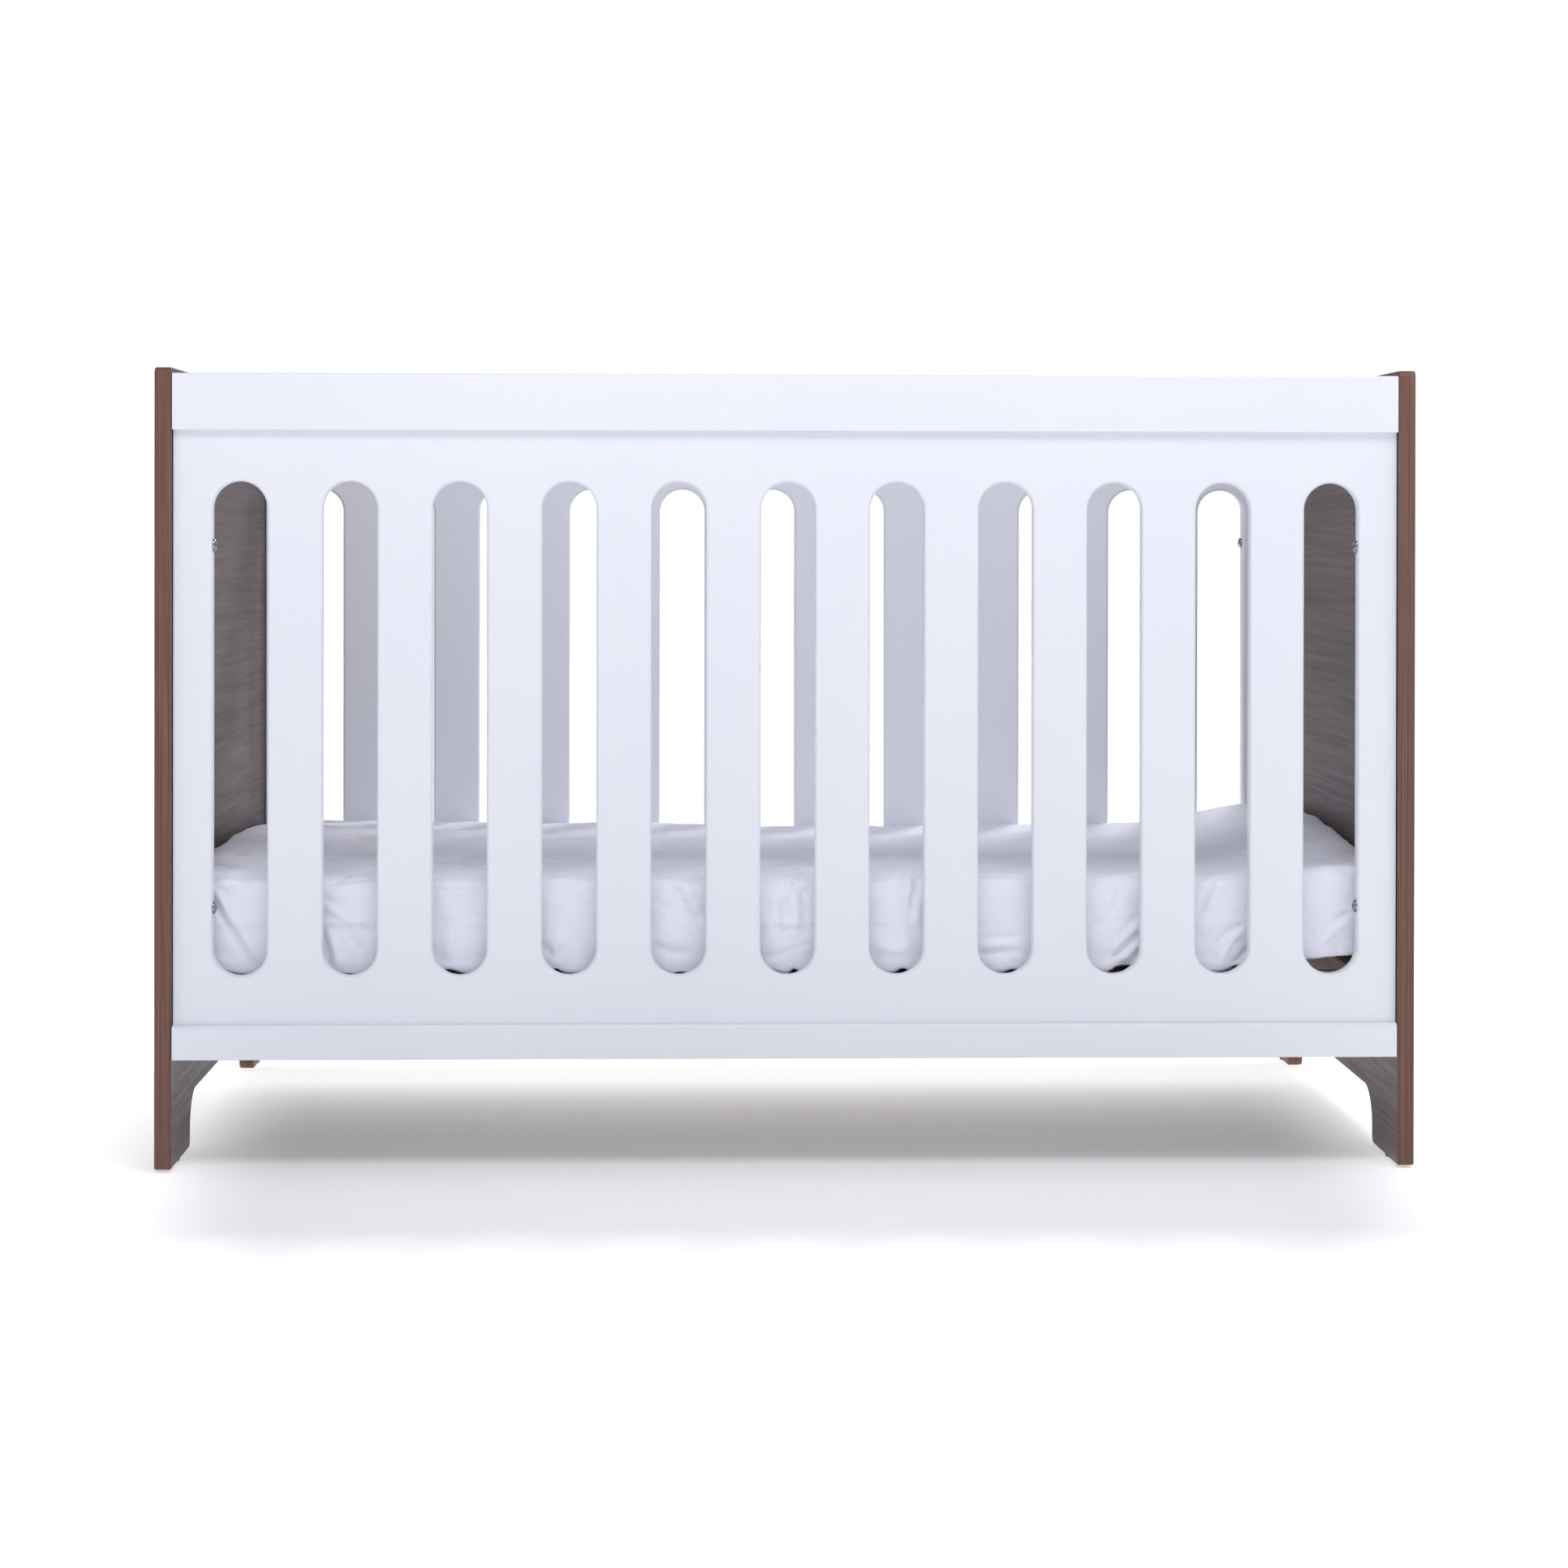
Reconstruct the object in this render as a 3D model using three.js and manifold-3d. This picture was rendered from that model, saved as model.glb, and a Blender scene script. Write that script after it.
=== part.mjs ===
// Baby crib: two veneered end panels, two slotted side panels between grooved rails, a slatted
// bed base on four steel brackets, and a mattress in a fitted sheet.
// Millimetres. +Z is up, +X runs along the crib, the front faces -Y.
// Origin: bottom centre of the whole crib, on the floor.

import * as THREE from "three";
import { mergeVertices } from "three/addons/utils/BufferGeometryUtils.js";
import Module from "manifold-3d";

// ---------------------------------------------------------------- driving dimensions
const LENGTH = 1357;          // over the end panels' outer faces
const DEPTH = 762;            // end panel, front edge to back edge
const HEIGHT = 863;           // floor to the end panels' level top
const BOARD = 18;             // end panel thickness
const GLIDE_H = 3;            // leg glide, height under the leg
const GAP = 0.3;              // clearance where one piece seats on or in another

const ARCH_HALF = 250;        // half the width of the cut-out between the legs, at the floor
const ARCH_TOP = 62;          // underside of the end panel between the legs
const ARCH_R = 40;            // fillet at the top of the cut-out
const FOOT_R = 9;             // rounding of a leg's bottom corners
const TOP_R = 7;              // rounding of an end panel's top corners

const SLAT_T = 18;            // slat panel thickness
const SLAT_FACE = 374;        // slat panel's outer face, from the centre
const SLOTS = 11;             // slots in each slat panel
const SLOT_W = 58.4;          // clear width of a slot
const SLOT_PITCH = 117.7;     // slot to slot
const SLOT_LOW = 209.5;       // lowest point of a slot
const SLOT_HIGH = 741;        // highest point of a slot
const SLOT_SEG = 7;           // facets on a slot's half-round end
const END_GAP = 0.8;          // slat panel and rails, clear of each end panel

const RAIL_T = 32;            // rail thickness, front to back
const RAIL_FACE = 381;        // rail's outer face, flush with the end panels' edges
const TOP_RAIL_LOW = 796;
const TOP_RAIL_HIGH = 857;
const LOW_RAIL_LOW = 120.5;
const LOW_RAIL_HIGH = 157.5;
const GROOVE_DEEP = 12;       // depth of the groove that holds the slat panel's edge

const BOLT_R = 3;             // panel bolt shank
const BOLT_BORE_R = 3.4;      // bore through the slat panel's end stile
const BOLT_HEAD_R = 7;
const BOLT_HEAD_H = 3.6;
const HEX_R = 2.3;            // hex socket, centre to corner
const BOLT_UPPER_Z = 672.5;
const BOLT_LOWER_Z = 282.5;
const INSERT_R = 5;
const INSERT_L = 13;

const DOWEL_R = 4;
const DOWEL_IN_RAIL = 24;
const DOWEL_IN_PANEL = 11;

const BASE_TOP = 208;         // top of the bed base, where the mattress rests
const BASE_H = 42;            // base rail height
const BASE_HALF_X = 656;
const BASE_HALF_Y = 344.5;
const BASE_RAIL_W = 32;       // base rail width
const BASE_SLATS = 9;
const BASE_SLAT_W = 76;
const BASE_SLAT_T = 12;
const REBATE_W = 14;          // ledge in the long base rails that the slats sit on

const BRACKET_LEG = 40;       // angle bracket, both flanges
const BRACKET_T = 3;
const BRACKET_W = 60;
const BRACKET_Y = 262;        // bracket centre, from the crib's centre
const TAB_W = 20;             // upturned locating tab at the flange's free edge
const TAB_H = 9;
const SCREW_R = 2.5;
const SCREW_HEAD_R = 5;

const MATTRESS_HALF_X = 656;  // with the sheet on
const MATTRESS_HALF_Y = 346;
const MATTRESS_TOP = 312;     // with the sheet on, away from the ends
const MATTRESS_R = 24;        // rounding of every edge, with the sheet on
const END_LIFT_FROM = 470;    // where the right-hand end starts to ride up
const END_LIFT_HIGH = 26;     // rise of its top, at mid width
const END_LIFT_LOW = 14;      // rise of its underside
const SHEET_T = 2;
const HEM = 60;               // how far the sheet turns under the mattress

// ---------------------------------------------------------------- derived
const IN_X = LENGTH / 2 - BOARD;            // inner face of an end panel
const PANEL_END = IN_X - END_GAP;           // end of the slat panels and rails
const SLAT_MID = SLAT_FACE - SLAT_T / 2;    // mid-plane of a slat panel
const RAIL_MID = RAIL_FACE - RAIL_T / 2;
const STILE_WALL = ((SLOTS - 1) / 2) * SLOT_PITCH + SLOT_W / 2;   // outer wall of the end slots
const BASE_LOW = BASE_TOP - BASE_H;

// ---------------------------------------------------------------- materials
const paintMat = () => new THREE.MeshStandardMaterial({ color: 0xf1f1f6, roughness: 0.42, metalness: 0 });
const walnutMat = () => new THREE.MeshStandardMaterial({ color: 0x7a5444, roughness: 0.5, metalness: 0 });
const baseMat = () => new THREE.MeshStandardMaterial({ color: 0x6b4a3a, roughness: 0.6, metalness: 0 });
const beechMat = () => new THREE.MeshStandardMaterial({ color: 0xd6b48a, roughness: 0.6, metalness: 0 });
const zincMat = () => new THREE.MeshStandardMaterial({ color: 0xb9bcc0, roughness: 0.35, metalness: 0.9 });
const chromeMat = () => new THREE.MeshStandardMaterial({ color: 0xd8dadd, roughness: 0.15, metalness: 1 });
const plasticMat = () => new THREE.MeshStandardMaterial({ color: 0x3a3a3c, roughness: 0.6, metalness: 0 });
const foamMat = () => new THREE.MeshStandardMaterial({ color: 0xe9e3d2, roughness: 0.95, metalness: 0 });
const clothMat = () => new THREE.MeshStandardMaterial({ color: 0xf4f4f8, roughness: 0.95, metalness: 0 });

// ---------------------------------------------------------------- solids
const wasm = await Module();
wasm.setup();

function solid(geometry) {
  let g = geometry.clone();
  g.deleteAttribute("normal");
  g.deleteAttribute("uv");
  g = mergeVertices(g, 1e-4);
  const m = new wasm.Mesh({
    numProp: 3,
    vertProperties: new Float32Array(g.attributes.position.array),
    triVerts: new Uint32Array(g.index.array),
  });
  return new wasm.Manifold(m);
}

function geometryOf(manifold) {
  const m = manifold.getMesh();
  const g = new THREE.BufferGeometry();
  const pos = new Float32Array(m.numVert * 3);
  for (let i = 0; i < m.numVert; i++)
    for (let k = 0; k < 3; k++) pos[i * 3 + k] = m.vertProperties[i * m.numProp + k];
  g.setAttribute("position", new THREE.BufferAttribute(pos, 3));
  g.setIndex(new THREE.BufferAttribute(new Uint32Array(m.triVerts), 1));
  g.computeVertexNormals();
  return g;
}

// A box from its lowest and highest corners.
function box(x0, y0, z0, x1, y1, z1) {
  const g = new THREE.BoxGeometry(x1 - x0, y1 - y0, z1 - z0);
  g.translate((x0 + x1) / 2, (y0 + y1) / 2, (z0 + z1) / 2);
  return g;
}

// A profile [radius, distance along the axis] turned about +X, starting at x.
function turnedX(profile, segments, x, y, z, sign = 1) {
  const g = new THREE.LatheGeometry(profile.map(([r, h]) => new THREE.Vector2(r, h)), segments);
  g.rotateZ(-Math.PI / 2);
  if (sign < 0) g.rotateY(Math.PI);
  g.translate(x, y, z);
  return g;
}

function turnedZ(profile, segments, x, y, z) {
  const g = new THREE.LatheGeometry(profile.map(([r, h]) => new THREE.Vector2(r, h)), segments);
  g.rotateX(Math.PI / 2);
  g.translate(x, y, z);
  return g;
}

function rodX(r, x0, x1, y, z, segments = 12) {
  return turnedX([[0, 0], [r, 0], [r, x1 - x0], [0, x1 - x0]], segments, x0, y, z);
}

const crib = new THREE.Group();

function piece(name, geometry, material) {
  const mesh = new THREE.Mesh(geometry, material);
  mesh.name = name;
  crib.add(mesh);
  return mesh;
}

// ---------------------------------------------------------------- end panels
// The outline is drawn in the (Y, Z) plane: a board with level top and two legs.
function endPanelGeometry(side) {
  const h = DEPTH / 2;
  const z0 = GLIDE_H;
  const s = new THREE.Shape();
  s.moveTo(-h, z0 + 3);
  s.lineTo(-h, HEIGHT - TOP_R);
  s.absarc(-h + TOP_R, HEIGHT - TOP_R, TOP_R, Math.PI, Math.PI / 2, true);
  s.lineTo(h - TOP_R, HEIGHT);
  s.absarc(h - TOP_R, HEIGHT - TOP_R, TOP_R, Math.PI / 2, 0, true);
  s.lineTo(h, z0 + 3);
  s.absarc(h - 3, z0 + 3, 3, 0, -Math.PI / 2, true);
  s.lineTo(ARCH_HALF + FOOT_R, z0);
  s.absarc(ARCH_HALF + FOOT_R, z0 + FOOT_R, FOOT_R, -Math.PI / 2, -Math.PI, true);
  s.lineTo(ARCH_HALF, ARCH_TOP - ARCH_R);
  s.absarc(ARCH_HALF - ARCH_R, ARCH_TOP - ARCH_R, ARCH_R, 0, Math.PI / 2, false);
  s.lineTo(-ARCH_HALF + ARCH_R, ARCH_TOP);
  s.absarc(-ARCH_HALF + ARCH_R, ARCH_TOP - ARCH_R, ARCH_R, Math.PI / 2, Math.PI, false);
  s.lineTo(-ARCH_HALF, z0 + FOOT_R);
  s.absarc(-ARCH_HALF - FOOT_R, z0 + FOOT_R, FOOT_R, 0, -Math.PI / 2, true);
  s.lineTo(-h + 3, z0);
  s.absarc(-h + 3, z0 + 3, 3, -Math.PI / 2, -Math.PI, true);
  const g = new THREE.ExtrudeGeometry(s, { depth: BOARD, bevelEnabled: false, curveSegments: 4 });
  // The outline's X becomes the part's Y, its Y becomes Z, and its thickness runs along X.
  g.applyMatrix4(new THREE.Matrix4().set(0, 0, 1, 0, 1, 0, 0, 0, 0, 1, 0, 0, 0, 0, 0, 1));
  g.translate(side < 0 ? -LENGTH / 2 : LENGTH / 2 - BOARD, 0, 0);
  return g;
}

for (const side of [-1, 1]) {
  const name = side < 0 ? "left" : "right";
  let board = solid(endPanelGeometry(side));
  const bore = (r, depth, y, z) => {
    const a = side * IN_X - side * 1;
    const b = side * (IN_X + depth);
    board = board.subtract(solid(rodX(r, Math.min(a, b), Math.max(a, b), y, z)));
  };
  for (const fy of [-1, 1]) {
    for (const z of [BOLT_UPPER_Z, BOLT_LOWER_Z]) bore(INSERT_R + GAP, INSERT_L + GAP, fy * SLAT_MID, z);
    bore(DOWEL_R + GAP, DOWEL_IN_PANEL + GAP, fy * RAIL_MID, (TOP_RAIL_HIGH + TOP_RAIL_LOW) / 2 + GROOVE_DEEP / 2);
    bore(DOWEL_R + GAP, DOWEL_IN_PANEL + GAP, fy * RAIL_MID, LOW_RAIL_LOW + (LOW_RAIL_HIGH - LOW_RAIL_LOW - GROOVE_DEEP) / 2);
    bore(SCREW_R + GAP, 14 + GAP, fy * BRACKET_Y, BASE_LOW - BRACKET_LEG / 2 - 3);
    // blind hole for the glide's nail
    board = board.subtract(solid(turnedZ([[0, 0], [1.5 + GAP, 0], [1.5 + GAP, 16], [0, 16]], 10,
      side * (LENGTH / 2 - BOARD / 2), fy * (DEPTH / 2 - 65), GLIDE_H - 1)));
  }
  piece(`${name}_end_panel`, geometryOf(board), walnutMat());
}

// ---------------------------------------------------------------- slat panels
function slatPanelGeometry(face) {
  const low = LOW_RAIL_HIGH - GROOVE_DEEP + GAP;
  const high = TOP_RAIL_LOW + GROOVE_DEEP - GAP;
  const s = new THREE.Shape();
  s.moveTo(-PANEL_END, low);
  s.lineTo(PANEL_END, low);
  s.lineTo(PANEL_END, high);
  s.lineTo(-PANEL_END, high);
  s.closePath();
  const r = SLOT_W / 2;
  for (let i = 0; i < SLOTS; i++) {
    const x = (i - (SLOTS - 1) / 2) * SLOT_PITCH;
    const hole = new THREE.Path();
    hole.moveTo(x + r, SLOT_LOW + r);
    hole.lineTo(x + r, SLOT_HIGH - r);
    hole.absarc(x, SLOT_HIGH - r, r, 0, Math.PI, false);
    hole.lineTo(x - r, SLOT_LOW + r);
    hole.absarc(x, SLOT_LOW + r, r, Math.PI, 2 * Math.PI, false);
    s.holes.push(hole);
  }
  const g = new THREE.ExtrudeGeometry(s, { depth: SLAT_T, bevelEnabled: false, curveSegments: SLOT_SEG });
  // The outline's Y becomes Z, and the thickness runs towards +Y from the lower face.
  g.applyMatrix4(new THREE.Matrix4().set(1, 0, 0, 0, 0, 0, -1, 0, 0, 1, 0, 0, 0, 0, 0, 1));
  g.translate(0, face < 0 ? -SLAT_FACE + SLAT_T : SLAT_FACE, 0);
  return g;
}

for (const face of [-1, 1]) {
  let panel = solid(slatPanelGeometry(face));
  for (const z of [BOLT_UPPER_Z, BOLT_LOWER_Z])
    for (const side of [-1, 1]) {
      const a = side * (STILE_WALL - 3);
      const b = side * (PANEL_END + 3);
      panel = panel.subtract(solid(rodX(BOLT_BORE_R, Math.min(a, b), Math.max(a, b), face * SLAT_MID, z)));
    }
  piece(face < 0 ? "front_slat_panel" : "back_slat_panel", geometryOf(panel), paintMat());
}

// ---------------------------------------------------------------- rails
for (const face of [-1, 1]) {
  const y0 = face < 0 ? -RAIL_FACE : RAIL_FACE - RAIL_T;
  const y1 = y0 + RAIL_T;
  const slot0 = face * SLAT_MID - SLAT_T / 2 - GAP;
  const slot1 = face * SLAT_MID + SLAT_T / 2 + GAP;
  const word = face < 0 ? "front" : "back";
  for (const [which, low, high] of [["top", TOP_RAIL_LOW, TOP_RAIL_HIGH], ["bottom", LOW_RAIL_LOW, LOW_RAIL_HIGH]]) {
    let rail = solid(box(-PANEL_END, y0, low, PANEL_END, y1, high));
    const groove = which === "top"
      ? box(-PANEL_END - 5, slot0, low - 5, PANEL_END + 5, slot1, low + GROOVE_DEEP)
      : box(-PANEL_END - 5, slot0, high - GROOVE_DEEP, PANEL_END + 5, slot1, high + 5);
    rail = rail.subtract(solid(groove));
    const z = which === "top"
      ? (TOP_RAIL_HIGH + TOP_RAIL_LOW) / 2 + GROOVE_DEEP / 2
      : LOW_RAIL_LOW + (LOW_RAIL_HIGH - LOW_RAIL_LOW - GROOVE_DEEP) / 2;
    for (const side of [-1, 1]) {
      const a = side * (PANEL_END - DOWEL_IN_RAIL - GAP);
      const b = side * (PANEL_END + 3);
      rail = rail.subtract(solid(rodX(DOWEL_R + GAP, Math.min(a, b), Math.max(a, b), face * RAIL_MID, z)));
      const d0 = side * (PANEL_END - DOWEL_IN_RAIL);
      const d1 = side * (IN_X + DOWEL_IN_PANEL);
      piece(`rail_dowel_${word}_${which}_${side < 0 ? "left" : "right"}`,
        turnedX([[0, 0], [DOWEL_R - 1, 0], [DOWEL_R, 1.5], [DOWEL_R, Math.abs(d1 - d0) - 1.5],
          [DOWEL_R - 1, Math.abs(d1 - d0)], [0, Math.abs(d1 - d0)]], 10, Math.min(d0, d1), face * RAIL_MID, z),
        beechMat());
    }
    piece(`${word}_${which}_rail`, geometryOf(rail), paintMat());
  }
}

// ---------------------------------------------------------------- panel bolts and inserts
for (const face of [-1, 1])
  for (const side of [-1, 1])
    for (const [level, z] of [["upper", BOLT_UPPER_Z], ["lower", BOLT_LOWER_Z]]) {
      const word = `${face < 0 ? "front" : "back"}_${side < 0 ? "left" : "right"}_${level}`;
      const y = face * SLAT_MID;
      const seat = STILE_WALL - GAP;               // underside of the head, at the slot's wall
      const tip = IN_X + INSERT_L - 1;
      // Turned outwards from the head's top: a domed head, then the shank.
      const top = seat - BOLT_HEAD_H;
      const profile = [
        [0, 0], [BOLT_HEAD_R * 0.55, 0.25], [BOLT_HEAD_R * 0.85, 1.2], [BOLT_HEAD_R, BOLT_HEAD_H - 0.8],
        [BOLT_HEAD_R, BOLT_HEAD_H], [BOLT_R, BOLT_HEAD_H], [BOLT_R, tip - top - 1], [BOLT_R - 1, tip - top], [0, tip - top],
      ];
      let bolt = solid(turnedX(profile, 14, side * top, y, z, side));
      const socket = new THREE.CylinderGeometry(HEX_R, HEX_R, 5, 6);
      socket.rotateZ(Math.PI / 2);
      socket.translate(side * (top - 0.3), y, z);
      bolt = bolt.subtract(solid(socket));
      piece(`panel_bolt_${word}`, geometryOf(bolt), chromeMat());

      const insert = turnedX([[BOLT_BORE_R, 0], [INSERT_R, 0], [INSERT_R, INSERT_L - 0.5], [BOLT_BORE_R, INSERT_L - 0.5], [BOLT_BORE_R, 0]],
        12, side * (IN_X + 0.2), y, z, side);
      piece(`panel_insert_${word}`, insert, zincMat());
    }

// ---------------------------------------------------------------- bed base
{
  const x = BASE_HALF_X;
  const y = BASE_HALF_Y;
  const w = BASE_RAIL_W;
  // Long rails run the full length; the end rails fit between them.
  for (const face of [-1, 1]) {
    let rail = solid(box(-x, face < 0 ? -y : y - w, BASE_LOW, x, face < 0 ? -y + w : y, BASE_TOP));
    const r0 = face < 0 ? -y + w - REBATE_W : y - w - 5;
    const r1 = face < 0 ? -y + w + 5 : y - w + REBATE_W;
    rail = rail.subtract(solid(box(-x + w, r0, BASE_TOP - BASE_SLAT_T - GAP, x - w, r1, BASE_TOP + 5)));
    piece(face < 0 ? "base_front_rail" : "base_back_rail", geometryOf(rail), baseMat());
  }
  for (const side of [-1, 1]) {
    let rail = solid(box(side < 0 ? -x : x - w, -y + w + GAP, BASE_LOW, side < 0 ? -x + w : x, y - w - GAP, BASE_TOP));
    for (const face of [-1, 1]) {
      // Pocket that drops over a bracket's upturned tab.
      const tx = side * (IN_X - BRACKET_LEG + BRACKET_T / 2 + 0.5);
      rail = rail.subtract(solid(box(tx - BRACKET_T / 2 - 1.5, face * BRACKET_Y - TAB_W / 2 - 2, BASE_LOW - 5,
        tx + BRACKET_T / 2 + 1.5, face * BRACKET_Y + TAB_W / 2 + 2, BASE_LOW + TAB_H + 2)));
    }
    piece(side < 0 ? "base_left_rail" : "base_right_rail", geometryOf(rail), baseMat());
  }
  const span = 2 * (x - w);
  const gap = (span - BASE_SLATS * BASE_SLAT_W) / (BASE_SLATS + 1);
  for (let i = 0; i < BASE_SLATS; i++) {
    const x0 = -span / 2 + gap + i * (BASE_SLAT_W + gap);
    const ye = y - w + REBATE_W - GAP;
    piece(`base_slat_${i + 1}`, box(x0, -ye, BASE_TOP - BASE_SLAT_T, x0 + BASE_SLAT_W, ye, BASE_TOP), baseMat());
  }
}

// ---------------------------------------------------------------- base brackets and screws
for (const side of [-1, 1])
  for (const face of [-1, 1]) {
    const word = `${face < 0 ? "front" : "back"}_${side < 0 ? "left" : "right"}`;
    const z1 = BASE_LOW - GAP;
    const outer = IN_X - GAP;
    // Section in (x, z), drawn for the right-hand side: wall flange, shelf flange, upturned tab root.
    const s = new THREE.Shape();
    s.moveTo(outer, z1 - BRACKET_LEG);
    s.lineTo(outer, z1 - 2);
    s.lineTo(outer - 2, z1);
    s.lineTo(outer - BRACKET_LEG, z1);
    s.lineTo(outer - BRACKET_LEG, z1 - BRACKET_T);
    s.lineTo(outer - BRACKET_T, z1 - BRACKET_T);
    s.lineTo(outer - BRACKET_T, z1 - BRACKET_LEG);
    s.closePath();
    const g = new THREE.ExtrudeGeometry(s, { depth: BRACKET_W, bevelEnabled: false });
    g.applyMatrix4(new THREE.Matrix4().set(1, 0, 0, 0, 0, 0, -1, 0, 0, 1, 0, 0, 0, 0, 0, 1));
    g.translate(0, BRACKET_W / 2, 0);
    let bracket = solid(g);
    const tab = box(outer - BRACKET_LEG, -TAB_W / 2, z1 - BRACKET_T, outer - BRACKET_LEG + BRACKET_T, TAB_W / 2, z1 + TAB_H);
    bracket = bracket.add(solid(tab));
    const zs = BASE_LOW - BRACKET_LEG / 2 - 3;
    bracket = bracket.subtract(solid(rodX(SCREW_R + GAP, outer - BRACKET_T - 2, outer + 2, 0, zs)));
    const bg = geometryOf(bracket);
    if (side < 0) bg.rotateZ(Math.PI);
    bg.translate(0, face * BRACKET_Y, 0);
    piece(`base_bracket_${word}`, bg, zincMat());

    const headIn = IN_X - GAP - BRACKET_T - GAP;      // underside of the screw head
    const profile = [[0, 0], [SCREW_HEAD_R * 0.7, 0.2], [SCREW_HEAD_R, 1.8], [SCREW_HEAD_R, 2.6], [SCREW_R, 2.6],
      [SCREW_R, 12], [0, 2.6 + 17]];
    piece(`bracket_screw_${word}`, turnedX(profile, 12, side * (headIn - 2.6), face * BRACKET_Y, zs, side), zincMat());
  }

// ---------------------------------------------------------------- leg glides
for (const side of [-1, 1])
  for (const face of [-1, 1]) {
    const word = `${face < 0 ? "front" : "back"}_${side < 0 ? "left" : "right"}`;
    piece(`leg_glide_${word}`,
      turnedZ([[0, 0], [6.8, 0], [8, 1], [8, GLIDE_H - 0.2], [1.5, GLIDE_H - 0.2], [1.5, 13], [0, 15.5]], 16,
        side * (LENGTH / 2 - BOARD / 2), face * (DEPTH / 2 - 65), 0), plasticMat());
  }

// ---------------------------------------------------------------- mattress and fitted sheet
// A block with every edge rounded to r, on a grid, so that its ends can be bent up: the mattress
// is a snug fit, and its right-hand end rides up a little against the end panel.
function mattressGeometry(hx, hy, z0, z1, r) {
  const hz = (z1 - z0) / 2;
  const zm = (z0 + z1) / 2;
  const g = new THREE.BoxGeometry(2, 2, 2, 12, 8, 4);
  const p = g.attributes.position;
  const spread = (t, h) => {
    // Grid lines crowd towards the rounded edges.
    const e = (h - r * 0.3) / h;
    return Math.sign(t) * (Math.abs(t) < 0.999 ? Math.abs(t) * e : 1) * h;
  };
  for (let i = 0; i < p.count; i++) {
    const v = [spread(p.getX(i), hx), spread(p.getY(i), hy), spread(p.getZ(i), hz)];
    const c = [hx, hy, hz].map((h, k) => Math.max(-(h - r), Math.min(h - r, v[k])));
    const d = v.map((q, k) => q - c[k]);
    const n = Math.hypot(...d);
    const w = n > 0 ? c.map((q, k) => q + (d[k] / n) * r) : v;
    const [x, y] = w;
    const end = smooth((x - END_LIFT_FROM) / (MATTRESS_HALF_X - END_LIFT_FROM));
    const crown = 0.3 + 0.7 * Math.max(0, 1 - ((y - 50) / 330) ** 2);
    const up = w[2] / hz * 0.5 + 0.5;
    const lift = end * ((1 - up) * END_LIFT_LOW + up * END_LIFT_HIGH * crown);
    p.setXYZ(i, x, y, zm + w[2] + lift);
  }
  return g;
}

function smooth(t) {
  const c = Math.max(0, Math.min(1, t));
  return c * c * (3 - 2 * c);
}

{
  const z0 = BASE_TOP + GAP;
  const inset = SHEET_T + GAP;
  const shell = solid(mattressGeometry(MATTRESS_HALF_X, MATTRESS_HALF_Y, z0, MATTRESS_TOP, MATTRESS_R));
  const inner = solid(mattressGeometry(MATTRESS_HALF_X - SHEET_T, MATTRESS_HALF_Y - SHEET_T,
    z0 + SHEET_T, MATTRESS_TOP - SHEET_T, MATTRESS_R - SHEET_T));
  const mouth = solid(box(-MATTRESS_HALF_X + HEM, -MATTRESS_HALF_Y + HEM, z0 - 5,
    MATTRESS_HALF_X - HEM, MATTRESS_HALF_Y - HEM, z0 + 30));
  piece("fitted_sheet", geometryOf(shell.subtract(inner).subtract(mouth)), clothMat());
  const core = solid(mattressGeometry(MATTRESS_HALF_X - inset, MATTRESS_HALF_Y - inset,
    z0 + inset, MATTRESS_TOP - inset, MATTRESS_R - inset));
  piece("mattress", geometryOf(core), foamMat());
}

export default crib;
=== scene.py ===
"""Baby crib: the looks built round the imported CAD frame. Metres, +Z up, the front faces -Y."""

import math

import bmesh
import bpy
import numpy as np
from mathutils import Matrix, Vector, noise


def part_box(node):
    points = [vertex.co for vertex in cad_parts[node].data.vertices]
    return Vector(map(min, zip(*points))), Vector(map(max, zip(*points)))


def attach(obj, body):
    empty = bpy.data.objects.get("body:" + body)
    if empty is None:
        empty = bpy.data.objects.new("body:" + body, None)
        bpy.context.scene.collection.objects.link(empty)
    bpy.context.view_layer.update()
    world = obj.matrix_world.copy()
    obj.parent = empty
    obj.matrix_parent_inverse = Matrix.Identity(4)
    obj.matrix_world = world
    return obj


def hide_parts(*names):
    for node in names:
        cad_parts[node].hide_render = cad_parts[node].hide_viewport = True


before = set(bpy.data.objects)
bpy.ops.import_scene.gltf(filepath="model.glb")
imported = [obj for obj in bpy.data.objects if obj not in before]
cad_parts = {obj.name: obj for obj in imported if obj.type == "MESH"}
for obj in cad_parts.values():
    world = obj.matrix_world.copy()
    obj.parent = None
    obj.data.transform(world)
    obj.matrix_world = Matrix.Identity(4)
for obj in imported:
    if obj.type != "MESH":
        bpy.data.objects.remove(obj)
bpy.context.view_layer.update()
MM = 0.001

# ------------------------------------------------------------------ sizes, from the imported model
END_LO, END_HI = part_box("right_end_panel")
DEPTH = END_HI.y
TOP = END_HI.z
FOOT_Z = END_LO.z
IN_X, OUT_X = END_LO.x, END_HI.x
PANEL_LO, PANEL_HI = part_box("front_slat_panel")
PANEL_END = PANEL_HI.x
SHEET_LO, SHEET_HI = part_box("fitted_sheet")
BASE_LO, BASE_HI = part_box("base_front_rail")
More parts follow.
